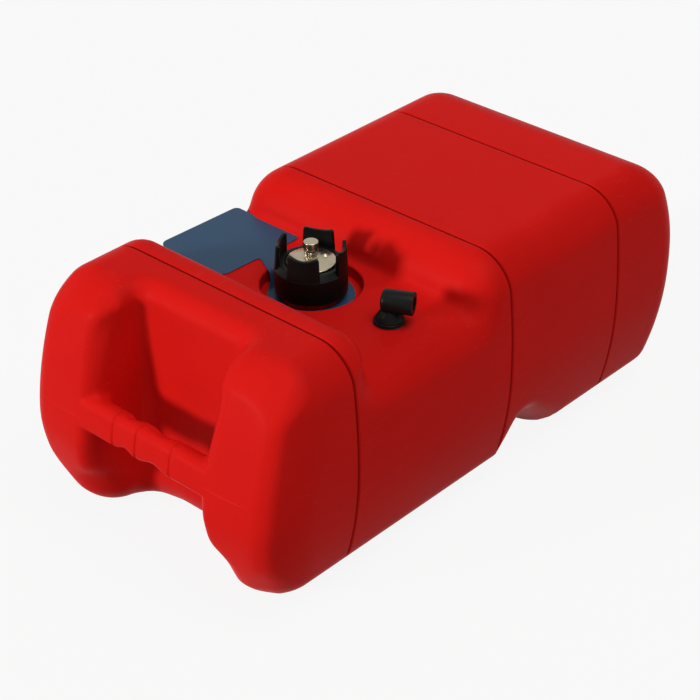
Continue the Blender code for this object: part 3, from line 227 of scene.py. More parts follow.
# %% Walls that lean
FRONT = (0.0890, 0.0334, 0.0285, 1.6)
REAR = (0.1400, 0.0209, 0.0159, 2.0)
SIDE = (0.1150, 0.0092, 0.0207, 2.0)
RECESS = (0.1150, 0.0220, 0.0161, 1.5)
CHEEK = (0.1000, 0.0195, 0.0235, 1.7)
CHEEK_X, CHEEK_TURN = -0.2440, math.radians(57.0)
BOW_START, BOW_REACH, BOW_DEPTH = 0.050, 0.075, 0.0045


def lean(z, crown, top, foot, power):
    """How far a wall has moved in at a height: a power of the way from the crown."""
    above = np.maximum(z - crown, 0.0) / (HEIGHT - crown)
    below = np.maximum(crown - z, 0.0) / crown
    return top * above ** power + foot * below ** power


def leaning(distance, z, crown, top, foot, power):
    """Distance to such a wall: the level distance, less where the wall slopes."""
    above = np.maximum(z - crown, 0.0) / (HEIGHT - crown)
    below = np.maximum(crown - z, 0.0) / crown
    slope = top / (HEIGHT - crown) * above ** (power - 1.0) + foot / crown * below ** (power - 1.0)
    return (distance + lean(z, crown, top, foot, power)) / np.hypot(1.0, power * slope)


def bow(y):
    """How far the front end has moved back beside its middle: the square of the way past a start."""
    return BOW_DEPTH * (np.maximum(np.abs(y) - BOW_START, 0.0) / BOW_REACH) ** 2


def pinch(x, z):
    """How far a cheek cuts into the side: where its plane lies, less where the side's is."""
    cut = (CHEEK_X - x) / math.tan(CHEEK_TURN) + lean(z, *CHEEK) / math.sin(CHEEK_TURN)
    return np.maximum(cut - lean(z, *SIDE), 0.0)


print("the front end leans in by", round(float(lean(np.array(HEIGHT), *FRONT)) * 1000, 1), "mm at the top")

# %% [markdown]
# Two hollows are cut into the body. A hold-down strap runs through the channel under it, and a
# hand reaches through the recess in its front end. Both are walls again: a place is in the
# recess when it is ahead of the back wall and between the two sides. The recess's sides open
# towards the front, so that the mould lets go of them. Its lip is flat at mid height, as a third
# surface that is slanted between the two, and turns into a round one above and below.

# %% Strap channel and hand recess
CHANNEL_ROUND, RECESS_ROUND = 0.026, 0.012


def channel(x, z):
    """Strap channel under the tank: an upright wall in front, a slope behind and a round roof."""
    slope = (x - CHANNEL_REAR) * math.sin(CHANNEL_SLOPE) + z * math.cos(CHANNEL_SLOPE)
    upright = round_max(CHANNEL_FRONT - x, z - CHANNEL_ROOF, CHANNEL_ROUND)
    return round_max(upright, slope, CHANNEL_ROUND)


def recess(x, y, z):
    """Hand recess: ahead of its back wall, and between its sides, which lean out as they go forward.

    The lean towards the top grows over the front 45 mm, and the lean towards the foot over 60 mm.
    """
    crown, top, foot, power = RECESS
    top_share = np.clip((RECESS_X - 0.020 - x) / 0.045, 0.0, 1.0)
    foot_share = 0.20 + 0.80 * np.clip((RECESS_X - x) / 0.060, 0.0, 1.0)
    side = -leaning(RECESS_HALF_WIDTH - np.abs(y), z, crown, top * top_share, foot * foot_share, power)
    return round_max(x - RECESS_X, side, RECESS_ROUND)


def recess_lip(y, z):
    """Radius of the recess's lip: 7 mm at its sides, 17 mm on top, and 32 to 39 mm at the foot."""
    top = ease((z - HEIGHT + 0.022) / 0.014)
    foot = ease((0.0842 - z) / 0.0421)
    beside = ease((np.abs(y) - 0.031) / 0.031)
    return 0.007 + 0.010 * top + (0.0321 - 0.0070 * beside) * foot


def front_round(z):
    """Radius between the front end and what it meets: 29 mm, and 9 mm up the tank's corners."""
    return 0.0290 - 0.0200 * ease((z - 0.020) / 0.045) * ease((0.212 - z) / 0.030)


print("the channel is", round((CHANNEL_REAR - CHANNEL_FRONT) * 1000), "mm wide at the foot")

# %% The whole outline
STEP_ROUND, RISE_ROUND, DECK_ROUND = 0.0175, 0.0370, 0.007
CHEEK_ROUND, TOP_ROUND, FOOT_ROUND, REAR_ROUND = 0.014, 0.0312, 0.0388, 0.0277
CHANNEL_LIP, LIP_CHAMFER = 0.0100, 0.0095


def body(points):
    """Distance to the body: two high blocks and the valley's deck, cut by walls, channel and recess."""
    x, y, z = points.T
    block = round_max(z - HEIGHT, x - STEP_X, STEP_ROUND)
    block = np.minimum(block, round_max(z - HEIGHT, RISE_X - x, RISE_ROUND))
    top = round_min(z - DECK, block, DECK_ROUND)
    bottom = round_max(-z, -channel(x, z), CHANNEL_LIP)
    away = (CHEEK_X - x) * math.cos(CHEEK_TURN) + (np.abs(y) - HALF_WIDTH) * math.sin(CHEEK_TURN)
    side = round_max(leaning(np.abs(y) - HALF_WIDTH, z, *SIDE), leaning(away, z, *CHEEK), CHEEK_ROUND)
    section = round_max(side, top, TOP_ROUND)
    section = round_max(section, bottom, FOOT_ROUND * (1.0 - 0.75 * ease(z / CHANNEL_ROOF)))
    whole = round_max(section, leaning(-x - HALF_LENGTH + bow(y), z, *FRONT), front_round(z))
    whole = round_max(whole, leaning(x - HALF_LENGTH, z, *REAR), REAR_ROUND)
    return with_recess(x, y, z, whole)


def with_recess(x, y, z, whole):
    """Cut the recess out: a flat lip where the share is 1, at mid height, and a round one elsewhere."""
    hand = -recess(x, y, z)
    slant = (whole + hand + LIP_CHAMFER) / math.sqrt(2.0)
    flat = round_max(round_max(whole, slant, 0.003), hand, 0.006)
    share = ease((z - 0.050) / 0.030) * ease((0.212 - z) / 0.030) * ease((RECESS_X - 0.015 - x) / 0.010)
    return share * flat + (1.0 - share) * round_max(whole, hand, recess_lip(y, z))


print("the tank's middle is", round(float(-body(np.array([[0.0, 0.0, 0.1]]))[0]) * 1000), "mm from its outline")

# %% [markdown]
# The grip is one with the body: the mould's halves pinch it from the same plastic. Its front is
# flush with the end of the tank, its back is well rounded for the fingers, and two hollows and
# three grooves give it a hold. A bar of its own, joined by a union, would meet the recess in a
# sharp line, so the bar is a distance too. Its roots flow into the recess with a wide fillet,
# which fades to almost nothing at the flush front.

# %% Grip
GRIP_PLACES = (-0.0330, 0.0064, 0.0330)
GRIP_HALF, GRIP_GROOVE = 0.0015, 0.0013
GRIP_FRONT, GRIP_BACK = 0.0003 - HALF_LENGTH, 0.0268 - HALF_LENGTH
GRIP_LOW, GRIP_HIGH = 0.1070, 0.1352
GRIP_FORE_ROUND, GRIP_AFT_ROUND, HOLLOW_DEPTH = 0.0062, 0.0130, 0.0036


def hollow(y):
    """Finger hollows: a squared sine between one groove and the next, 3.6 mm deep."""
    depth = np.zeros_like(y)
    for start, end in zip(GRIP_PLACES, GRIP_PLACES[1:]):
        share = np.clip((y - start - GRIP_HALF) / (end - start - 2 * GRIP_HALF), 0.0, 1.0)
        depth = depth + HOLLOW_DEPTH * np.sin(math.pi * share) ** 2
    return depth


def vee(places, place, half):
    """A groove's section: 1 at its middle, and straight down to 0 at its edges."""
    depth = np.zeros_like(place)
    for middle in places:
        depth = np.maximum(depth, 1.0 - np.abs(place - middle) / half)
    return depth


def with_grip(points):
    """Distance to the body and the grip together."""
    x, y, z = points.T
    upright = np.maximum(z - GRIP_HIGH, GRIP_LOW + hollow(y) - z)
    fore = round_max(GRIP_FRONT + lean(z, *FRONT) - x, upright, GRIP_FORE_ROUND)
    aft = round_max(x - GRIP_BACK + hollow(y), upright, GRIP_AFT_ROUND)
    bar = np.maximum(fore, aft) + GRIP_GROOVE * vee(GRIP_PLACES, y, GRIP_HALF)
    end = np.abs(y) - RECESS_HALF_WIDTH - lean(z, *RECESS) - 0.010
    root = 0.0004 + 0.0076 * ease((x - GRIP_FRONT - lean(z, *FRONT) - 0.001) / 0.012)
    return round_min(body(points), np.maximum(bar, end), root)


print("grip", round((GRIP_HIGH - GRIP_LOW) * 1000), "mm high,",
      round((GRIP_BACK - GRIP_FRONT) * 1000), "mm deep")

# %% [markdown]
# ### From distances to faces
#
# Space round the tank is cut into small cells by three sets of planes. Where the outline passes
# through a cell, the cell gets one point of the mesh, and where it crosses a cell's edge, the
# four cells round that edge are joined by a square. A straight grid would cut the leaning walls
# in steps, so the grid leans as the walls do. The planes lie closer at the grooves, the grip
# and the mould's parting line, which are finer than the rest.

# %% A grid that leans with the walls
def leaned(points):
    """Move places of a plain box as the walls lean.

    How far the front bows back depends on the width, and the width on where a cheek starts, so
    both settle in three rounds.
    """
    x, y, z = points.T
    ahead = np.maximum(RECESS_X - x, 0.0) / (RECESS_X + HALF_LENGTH)
    start = RING_PLACES[-1] + 2 * RING_HALF
    behind = np.maximum(x - start, 0.0) / (HALF_LENGTH - start)
    reach = np.abs(y)
    share = (HALF_WIDTH - reach) / (HALF_WIDTH - RECESS_HALF_WIDTH)
    narrow = reach * (1.0 + lean(z, *RECESS) / RECESS_HALF_WIDTH)
    width, back = reach, -lean(z, *REAR) * behind
    for _ in range(3):
        moved = x + (lean(z, *FRONT) + bow(width)) * ahead + back
        wide = reach + lean(z, *RECESS) * share - (lean(z, *SIDE) + pinch(moved, z)) * (1.0 - share)
        width = np.where(reach > RECESS_HALF_WIDTH, wide, narrow)
    return np.stack([moved, np.copysign(width, y), z], axis=1)


def planes(stops):
    """Planes along one axis. A stop is (place, cell width there, widest cell up to the next stop)."""
    lines = []
    for (place, width, step), (after, next_width, _) in zip(stops, stops[1:]):
        start, end = place + width / 2, after - next_width / 2
        count = max(math.ceil((end - start) / step - 1e-6), 1 if end - start > 1e-9 else 0)
        lines += [place - width / 2, *np.linspace(start, end, count, endpoint=False)]
    place, width, _ = stops[-1]
    return np.array(lines + [place - width / 2, place + width / 2])


def close_stops(middle, half, step):
    """Five stops across a groove or a bead, half its width apart in two steps on each side."""
    width = half / 2
    return [(middle + width * i, width, step if i == 2 else width) for i in range(-2, 3)]


sample = planes([(0.0, 0.002, 0.003), (0.010, 0.002, 0.003)])
print("planes between two stops, in mm:", np.round(sample * 1000, 2))

# %% Points in the cells that the outline passes
def slope_of(field, points):
    """Which way a distance grows fastest, and how fast: central differences over 0.1 mm."""
    columns = []
    for shift in np.eye(3) * 0.00005:
        columns.append((field(points + shift) - field(points - shift)) / 0.0001)
    return np.stack(columns, axis=1)


def crossings(corners, values):
    """For each cell, the sum and the number of the places where its edges cross the level."""
    total = np.zeros((*(size - 1 for size in values.shape), 3))
    count = np.zeros(total.shape[:3])
    near, far = slice(None, -1), slice(1, None)
    for axis in range(3):
        start, end = [slice(None)] * 3, [slice(None)] * 3
        start[axis], end[axis] = near, far
        start, end = tuple(start), tuple(end)
        cut = (values[start] < 0.0) != (values[end] < 0.0)
        share = np.where(cut, values[start], 0.0) / np.where(cut, values[start] - values[end], 1.0)
        places = corners[start] + share[..., None] * (corners[end] - corners[start])
        for first in (near, far):
            for second in (near, far):
                pick = [first, second]
                pick.insert(axis, slice(None))
                total += cut[tuple(pick)][..., None] * places[tuple(pick)]
                count += cut[tuple(pick)]
    return total, count


def squares(inside, number):
    """The four cells round each grid edge that the outline crosses, in order, facing out."""
    faces = []
    for axis in range(3):
        first, second = (axis + 1) % 3, (axis + 2) % 3
        before = np.take(inside, range(inside.shape[axis] - 1), axis)
        after = np.take(inside, range(1, inside.shape[axis]), axis)
        edges = np.argwhere(before != after)
        ring = []
        for back, down in ((1, 1), (0, 1), (0, 0), (1, 0)):
            cell = edges.copy()
            cell[:, first] -= back
            cell[:, second] -= down
            ring.append(number[tuple(cell.T)])
        ring = np.stack(ring, axis=1)
        faces.append(np.where(before[tuple(edges.T)][:, None], ring, ring[:, ::-1]))
    return np.concatenate(faces)


print("surface tools ready")

# %% One skin
def skin(field, level, lines):
    """Points and squares of the surface where a distance has the level.

    A point starts at the mean of its cell's crossings, then moves down the slope until the
    distance there is the level, and stays in its own cell.
    """
    corners = np.stack(np.meshgrid(*lines, indexing='ij'), axis=-1)
    values = (field(leaned(corners.reshape(-1, 3))) - level).reshape(corners.shape[:3])
    total, count = crossings(corners, values)
    cells = np.argwhere(count > 0)
    low = corners[tuple(cells.T)]
    high = corners[tuple((cells + 1).T)]
    points = total[count > 0] / count[count > 0][:, None]
    room = 0.10 * (high - low)
    for _ in range(10):
        way = slope_of(lambda p: field(leaned(p)), points)
        off = field(leaned(points)) - level
        points = points - 0.9 * (off / np.maximum((way ** 2).sum(axis=1), 0.25))[:, None] * way
        points = np.clip(points, low - room, high + room)
    number = np.full(count.shape, -1)
    number[count > 0] = np.arange(len(cells))
    return leaned(points), squares(values < 0.0, number)


def stops_for(inset, step, fine):
    """Stops along X, Y and Z for a skin that lies inset from the outline."""
    along = [(inset - HALF_LENGTH, fine, fine), (FINE_BACK, fine, step), (RECESS_X + inset, step, step)]
    across = [(inset - HALF_WIDTH, step, step), (-RECESS_HALF_WIDTH - inset, step, step)]
    up = [(inset, step, step), (FINE_LOW, fine, fine)]
    if inset == 0.0:
        along += close_stops(RING_PLACES[0], RING_HALF, step)
        for place in GRIP_PLACES:
            across += close_stops(place, GRIP_HALF, step)
        up += close_stops(PARTING, PARTING_HALF, fine)
    along += [(STEP_X - inset, step, step), (RISE_X + inset, step, step)]
    across += [(RECESS_HALF_WIDTH + inset, step, step), (HALF_WIDTH - inset, step, step)]
    up += [(FINE_HIGH, fine, step), (DECK - inset, step, step), (HEIGHT - inset, step, step)]
    if inset == 0.0:
        along += close_stops(RING_PLACES[1], RING_HALF, step)
    along += [(CHANNEL_FRONT - inset, step, step), (CHANNEL_REAR + inset, step, step)]
    if inset == 0.0:
        along += close_stops(RING_PLACES[2], RING_HALF, step)
    return [planes(stops) for stops in (along + [(HALF_LENGTH - inset, step, step)], across, up)]


FINE_BACK, FINE_LOW, FINE_HIGH = -0.2400, 0.0980, 0.1400
outer_points, outer_faces = skin(with_grip, 0.0, stops_for(0.0, 0.0038, 0.0024))
inner_points, inner_faces = skin(body, -WALL, stops_for(WALL, 0.0100, 0.0080))
print("outer skin", len(outer_points), "points; inner skin", len(inner_points), "points")

# %% [markdown]
# Three grooves ring the real tank and stiffen it, and a faint line shows where the halves of
# the mould met. Both could be part of the distance, but they are small next to the cells and
# would come out ragged. So they are pressed into the finished points along the surface's own
# slope: a V of 2.1 mm at each ring, wider on the sides than on top, and a bead of 0.3 mm on
# the front end.

# %% Ring grooves and parting line
TOP_SHARE, BEAD_START, BEAD_END, BEAD_AHEAD = 0.65, 0.066, 0.120, -0.255
x, y, z = outer_points.T
beside = ease((np.abs(y) - 0.100) / 0.030)
press = RING_DEPTH * vee(RING_PLACES, x, RING_HALF * (TOP_SHARE + (1.0 - TOP_SHARE) * beside))
at_front = ease((np.abs(y) - BEAD_START) / 0.008) * ease((BEAD_END - np.abs(y)) / 0.010) * (x < BEAD_AHEAD)
press -= PARTING_BEAD * vee((PARTING,), z, PARTING_HALF) * at_front
outer_points = outer_points - press[:, None] * slope_of(with_grip, outer_points)
print("deepest groove", round(float(press.max()) * 1000, 2), "mm")

# %% [markdown]
# ### Pocket, neck and port
#
# Round features stand in the deck: the pocket for the filler with its rounded lip, the neck and
# its bore, and the boss and hole for the pickup. They could be distances like the rest, but the
# cells would have to be very small to draw such sharp rims. So each is a profile of radius and
# height, carried once round an upright axis, and then added to the shell or cut from it.

# %% Closed shapes from a profile
def closed_mesh(name, points, faces):
    """A mesh from points and faces, with doubled points merged and faces turned outwards."""
    mesh = bpy.data.meshes.new(name)
    mesh.from_pydata(points, [], faces)
    bm = bmesh.new()
    bm.from_mesh(mesh)
    bmesh.ops.remove_doubles(bm, verts=bm.verts, dist=1e-7)
    bmesh.ops.recalc_face_normals(bm, faces=bm.faces)
    bm.to_mesh(mesh)
    bm.free()
    mesh.update()
    return mesh


def turned(profile, centre, segments=144, ring=False):
    """Points and faces of a profile of (radius, height) carried round an upright axis.

    x is the centre's plus radius times cos t, and y the centre's plus radius times sin t. A
    profile from the axis to the axis closes by itself, and ring=True joins its ends.
    """
    radius, height = np.array(profile).T
    t = np.linspace(0.0, 2 * math.pi, segments, endpoint=False)
    x = centre[0] + np.outer(np.cos(t), radius)
    y = centre[1] + np.outer(np.sin(t), radius)
    z = np.broadcast_to(height, x.shape)
    index = np.arange(x.size).reshape(x.shape)
    after = np.roll(index, -1, axis=0)
    low, high = (index, after) if ring else (index[:, :-1], after[:, :-1])
    low_next, high_next = (np.roll(index, -1, axis=1), np.roll(after, -1, axis=1)) if ring else \
        (index[:, 1:], after[:, 1:])
    faces = np.stack([low, high, high_next, low_next], axis=-1).reshape(-1, 4)
    return np.stack([x, y, z], axis=-1).reshape(-1, 3), faces


def arc(centre, radius, start, end, steps=8):
    """Points of an arc in a profile, with its angles in degrees."""
    t = np.radians(np.linspace(start, end, steps + 1))
    return list(zip(centre[0] + radius * np.cos(t), centre[1] + radius * np.sin(t)))


print("profile tools ready")

# %% Add to a shell and cut from it
def put(name, mesh):
    """Put a mesh into the scene as a new object at the origin."""
    made = bpy.data.objects.new(name, mesh)
    bpy.context.scene.collection.objects.link(made)
    return made


def combine(target, name, shape, operation):
    """Union with a shape, or cut it away, and keep only the result."""
    tool = put(name, closed_mesh(name, *shape))
    step = target.modifiers.new(name, 'BOOLEAN')
    step.operation = operation
    step.solver = 'MANIFOLD'
    step.object = tool
    graph = bpy.context.evaluated_depsgraph_get()
    result = bpy.data.meshes.new_from_object(target.evaluated_get(graph))
    target.modifiers.clear()
    target.data = result
    bpy.data.objects.remove(tool)
    return len(result.polygons)


def soften(piece, degrees=32.0):
    """Smooth shading, with a crease where two faces meet at more than an angle."""
    piece.data.shade_smooth()
    piece.data.set_sharp_from_angle(angle=math.radians(degrees))
    return piece


print("piece tools ready")

# %% The whole shell
NECK, PICKUP = (-0.0683, 0.0), (-0.0710, -0.0894)
POCKET_DEPTH, POCKET_LIP, BORE_RADIUS, PORT_RADIUS = 0.0111, 0.0018, 0.0220, 0.0102
POCKET_FLOOR = DECK - POCKET_DEPTH
wall = bpy.data.meshes.new("tank_skin")
inner_turned = (inner_faces + len(outer_points))[:, ::-1]
wall.from_pydata(np.concatenate([outer_points, inner_points]), [], np.concatenate([outer_faces, inner_turned]))
shell = put("tank_skin", wall)
pan = [(0.0, POCKET_FLOOR - WALL), (0.0474, POCKET_FLOOR - WALL), (0.0474, DECK - 0.0021),
       (0.0, DECK - 0.0021)]
room = [(0.0, POCKET_FLOOR)] + arc((0.0426, POCKET_FLOOR + 0.001), 0.001, -90.0, 0.0)
room += arc((0.0454, DECK - POCKET_LIP), POCKET_LIP, 180.0, 90.0)
room += [(0.0454, DECK + 0.004), (0.0, DECK + 0.004)]
post = [(0.0, POCKET_FLOOR - 0.002), (0.0255, POCKET_FLOOR - 0.002)]
post += arc((0.0249, DECK + 0.0133), 0.0006, 0.0, 90.0) + [(0.0, DECK + 0.0139)]
bore = [(0.0, 0.160), (BORE_RADIUS, 0.160), (BORE_RADIUS, 0.205), (0.0, 0.205)]
boss = [(0.0, DECK - 0.0118), (0.0150, DECK - 0.0118), (0.0150, DECK - 0.0021), (0.0, DECK - 0.0021)]
port = [(0.0, 0.165), (PORT_RADIUS, 0.165), (PORT_RADIUS, 0.195), (0.0, 0.195)]
for name, profile, centre, operation in (
        ("pocket_pan", pan, NECK, 'UNION'), ("pocket_room", room, NECK, 'DIFFERENCE'),
        ("neck_post", post, NECK, 'UNION'), ("neck_bore", bore, NECK, 'DIFFERENCE'),
        ("port_boss", boss, PICKUP, 'UNION'), ("port_hole", port, PICKUP, 'DIFFERENCE')):
    print(name, combine(shell, name, turned(profile, centre), operation), "faces")
soften(shell)

# %% [markdown]
# ## The filler cap
#
# The cap is one black moulding: a skirt with an inside thread, a plate with a seat for the
# vent's dome, and four finger prongs that stand on its rim. The skirt is a turned profile. A
# prong could be a bent cube with a bevel, but its horns are rounder than a bevel makes them, so
# it is a box with rounded edges that is bent round the axis by a formula.

# %% A box with rounded edges
def rounded_box(half, radius, counts, steps=5):
    """Points and faces of a box with rounded edges round the origin.

    Each place on the plain box is drawn in until it is the radius away from every side, and the
    way from there back to the plain place, cut to the radius, gives the rounded place.
    """
    half = np.array(half)
    tangents = radius * np.tan(np.linspace(0.0, math.pi / 4, steps + 1))[1:]
    lines = []
    for reach, count in zip(half - radius, counts):
        middle = np.linspace(-reach, reach, count + 1)
        lines.append(np.concatenate([-reach - tangents[::-1], middle, reach + tangents]))
    points, faces, start = [], [], 0
    for axis in range(3):
        first, second = (axis + 1) % 3, (axis + 2) % 3
        u, v = np.meshgrid(lines[first], lines[second], indexing='ij')
        index = np.arange(u.size).reshape(u.shape)
        quads = grid_faces(index)
        for side in (-1.0, 1.0):
            place = np.empty((u.size, 3))
            place[:, axis], place[:, first], place[:, second] = side * half[axis], u.ravel(), v.ravel()
            core = np.clip(place, radius - half, half - radius)
            way = place - core
            points.append(core + radius * way / np.linalg.norm(way, axis=1)[:, None])
            faces.append(quads + start)
            start += u.size
    return np.concatenate(points), np.concatenate(faces)


print("rounded box ready")

# %% Finger prongs
CAP_RADIUS, RIM, PRONG_TIP = 0.0310, DECK + 0.0219, DECK + 0.0401
PRONG_SPAN, PRONG_DIP, PRONG_THICKNESS = math.radians(57.0), 0.0036, 0.0040
PRONG_LEAN, HORN_FALL, PRONG_INSET = 0.0009, 0.0024, 0.00002


def prong(azimuth):
    """A prong: s from -1 to 1 along its arc and h from 0 to 1 up it.

    The height of its top is the tip's less the dip times (1 - s squared), and the outer fifth of
    each horn falls away as a parabola. The prong gets thinner and leans in on its way up. It is
    inset by a hair, so that its face and the skirt's don't lie in one place.
    """
    long = CAP_RADIUS * PRONG_SPAN / 2
    foot = RIM - 0.0062
    tall = (PRONG_TIP - foot) / 2
    points, faces = rounded_box((long, PRONG_THICKNESS / 2, tall), 0.0008, (28, 2, 10))
    along, out, up = points.T
    s, h = along / long, (up + tall) / (2 * tall)
    horn = np.clip((np.abs(s) - 0.78) / 0.22, 0.0, 1.0)
    top = PRONG_TIP - PRONG_DIP * (1.0 - s ** 2) - HORN_FALL * horn ** 2
    angle = azimuth + along / CAP_RADIUS * (1.0 - 0.05 * h)
    radius = CAP_RADIUS - PRONG_THICKNESS / 2 - PRONG_INSET + out * (1.0 - 0.30 * h) - PRONG_LEAN * h
    return np.stack([NECK[0] + radius * np.cos(angle), NECK[1] + radius * np.sin(angle),
                     foot + h * (top - foot)], axis=1), faces


print("prongs are", round((PRONG_TIP - RIM) * 1000, 1), "mm high")

# %% Skirt and plate, joined with the prongs
skirt = [(0.0269, DECK - 0.0046)] + arc((0.0303, DECK - 0.0039), 0.0007, -90.0, 0.0)
skirt += arc((0.0302, RIM - 0.0052), 0.0008, 0.0, 42.0) + arc((0.0264, RIM - 0.0008), 0.0008, 42.0, 90.0)
skirt += arc((0.0233, RIM - 0.0004), 0.0004, 90.0, 180.0, 4) + [(0.0229, DECK + 0.0203)]
skirt += [(0.0055, DECK + 0.0203), (0.0055, DECK + 0.0165), (0.0269, DECK + 0.0165)]
cap = put("screw_cap", closed_mesh("screw_cap", *turned(skirt, NECK, ring=True)))
for count in range(4):
    name = f"prong_{count + 1}"
    print(name, combine(cap, name, prong(math.radians(29.0 + 90.0 * count)), 'UNION'), "faces")
soften(cap)

# %% [markdown]
# ## The vent
#
# A pressed steel dome closes the cap, and a knurled bush in its middle carries the vent screw.
# A small lug is pressed up beside the bush. The real pieces are pressed and turned, so a profile
# that is carried round the axis follows how they are made. The knurl is a radius that waves
# round the axis, and the lug is a rise of the dome's points near one place. A bump in the
# material would be quicker, but it would be missing from the outline and from the mesh.

# %% Dome with its pressed lug
LUG, LUG_RISE = (NECK[0] + 0.0104, NECK[1] - 0.0067), 0.0015
crown = np.linspace(0.0206, 0.0055, 30)
swell = DECK + 0.0230 + 0.0030 * np.sin((0.0206 - crown) / 0.0151 * math.pi / 2)
plate = [(0.0214, DECK + 0.0206)] + arc((0.0206, DECK + 0.0222), 0.0008, 0.0, 90.0, 6)[:-1]
plate += list(zip(crown, swell)) + list(zip(crown[::-1], swell[::-1] - 0.0008)) + [(0.0206, DECK + 0.0206)]
points, faces = turned(plate, NECK, ring=True)
near_lug = np.hypot(points[:, 0] - LUG[0], points[:, 1] - LUG[1])
points[:, 2] += LUG_RISE * ease((0.0030 - near_lug) / 0.0020)
dome = soften(put("pressed_dome", closed_mesh("pressed_dome", points, faces)))
print("dome", len(dome.data.polygons), "faces")

# %% Knurled bush
KNURLS, KNURL_WAVE = 16, 0.075
collar = [(0.0026, DECK + 0.0150), (0.0066, DECK + 0.0150), (0.0066, DECK + 0.0162), (0.0052, DECK + 0.0162)]
collar += [(0.0052, DECK + 0.0261), (0.0064, DECK + 0.0261), (0.0064, DECK + 0.0265), (0.0048, DECK + 0.0268)]
collar += [(0.0048, DECK + 0.0312), (0.0044, DECK + 0.0317), (0.0026, DECK + 0.0317)]
points, faces = turned(collar, NECK, 8 * KNURLS, ring=True)
reach = points[:, :2] - NECK
turn = np.arctan2(reach[:, 1], reach[:, 0])
knurled = (np.hypot(*reach.T) > 0.0046) & (points[:, 2] > DECK + 0.0267)
points[:, :2] = NECK + reach * np.where(knurled, 1.0 + KNURL_WAVE * np.cos(KNURLS * turn), 1.0)[:, None]
bush = soften(put("knurled_bush", closed_mesh("knurled_bush", points, faces)), 50.0)
print("bush", len(bush.data.polygons), "faces")

# %% Vent screw, and its seal drawn wide as partly painted shade under the knob
screw = [(0.0, DECK + 0.0111), (0.0022, DECK + 0.0111), (0.0022, DECK + 0.0121), (0.0017, DECK + 0.0121)]
screw += [(0.0017, DECK + 0.0135), (0.0022, DECK + 0.0135), (0.0022, DECK + 0.0337)]
screw += arc((0.0057, DECK + 0.0342), 0.0005, -90.0, 0.0, 4)
screw += arc((0.0057, DECK + 0.0401), 0.0005, 0.0, 90.0, 4) + [(0.0, DECK + 0.0406)]
knob = soften(put("vent_screw", closed_mesh("vent_screw", *turned(screw, NECK))))
# The washer is wider than the imported seal: it is the real seal, and its black band also stands in for the
# shade under the knob, as painted shade.
washer_and_shade = [(0.0025, DECK + 0.0321)] + arc((0.0055, DECK + 0.0325), 0.0004, -90.0, 0.0, 3)
washer_and_shade += arc((0.0055, DECK + 0.0331), 0.0004, 0.0, 90.0, 3) + [(0.0025, DECK + 0.0335)]
seal = soften(put("vent_washer_and_shade", closed_mesh("vent_washer_and_shade", *turned(washer_and_shade, NECK, ring=True))))
print("screw", len(knob.data.polygons), "faces; seal", len(seal.data.polygons), "faces")

# %% [markdown]
# ## The pickup
#
# The swivel elbow stands on a low flange. Its foot is domed, and its head is a level barrel
# with a rounded back, bored for the hose fitting. A bent tube would be rounder than the real
# elbow, whose two bores are drilled from two sides. So both halves are turned, one upright and
# one laid on its side, and then joined and bored.

# %% Flange
ring = [(0.0070, DECK - 0.0132), (0.0090, DECK - 0.0132), (0.0098, DECK - 0.0124), (0.0098, DECK + 0.0018)]
ring += [(0.0133, DECK + 0.0018)] + arc((0.0123, DECK + 0.0028), 0.0010, 0.0, 90.0) + [(0.0070, DECK + 0.0038)]
flange = soften(put("pickup_flange", closed_mesh("pickup_flange", *turned(ring, PICKUP, ring=True))))
print("flange", len(flange.data.polygons), "faces")

# %% Elbow
ELBOW_TURN, AXIS = math.radians(-62.4), DECK + 0.0203


def laid(profile):
    """A turned profile of (radius, distance) laid level: distance runs along the elbow's azimuth."""
    points, faces = turned(profile, (0.0, 0.0), 96)
    across, up, along = points.T
    x = PICKUP[0] + along * math.cos(ELBOW_TURN) - across * math.sin(ELBOW_TURN)
    y = PICKUP[1] + along * math.sin(ELBOW_TURN) + across * math.cos(ELBOW_TURN)
    return np.stack([x, y, AXIS + up], axis=1), faces


spigot = [(0.0, -0.0285), (0.0034, -0.0285), (0.0034, -0.0162), (0.0066, -0.0162), (0.0066, -0.0148),
          (0.0057, -0.0148), (0.0057, -0.0135), (0.0066, -0.0135), (0.0066, -0.0067), (0.0050, -0.0067),
          (0.0050, -0.0047), (0.0066, -0.0047), (0.0066, 0.0040), (0.0121, 0.0040)]
spigot += [(0.0062 + 0.0060 * share ** 0.8, 0.0131 - 0.0089 * share) for share in np.linspace(1.0, 0.0, 12)]
spigot = [(r, DECK + h) for r, h in spigot + [(0.0062, AXIS - DECK), (0.0, AXIS - DECK)]]
barrel = [(0.0, -0.0064)] + arc((0.0067, -0.0032), 0.0032, -90.0, 0.0)
barrel += arc((0.0093, 0.0200), 0.0006, 0.0, 90.0, 4) + [(0.0, 0.0206)]
elbow = put("swivel_elbow", closed_mesh("swivel_elbow", *turned(spigot, PICKUP, 96)))
print("barrel", combine(elbow, "barrel", laid(barrel), 'UNION'), "faces")

# %% Bores of the elbow
HOSE_BORE, FUEL_BORE = 0.0056, 0.0021


def drill(radius, start, end):
    """Profile of a drilled hole: a cylinder from one distance to another."""
    return [(0.0, start), (radius, start), (radius, end), (0.0, end)]


upright = turned(drill(FUEL_BORE, DECK - 0.032, AXIS), PICKUP, 96)
for name, shape in (("hose_port", laid(drill(HOSE_BORE, 0.0095, 0.03))),
                    ("level_way", laid(drill(FUEL_BORE, 0.0, 0.012))), ("upright_way", upright)):
    print(name, combine(elbow, name, shape, 'DIFFERENCE'), "faces")
soften(elbow)

# %% [markdown]
# ## The tag
#
# A blue plastic tag hangs round the neck by a ring. Its ring lies in the pocket, and its tongue
# bends up over the pocket's lip and lies on the deck. A flat card could be bent by a modifier,
# but then its bend wouldn't follow the pocket. So the tongue is a sheet of rows over the deck's
# own height: each row has a left and a right end, and the outline is two functions of the way
# along it.

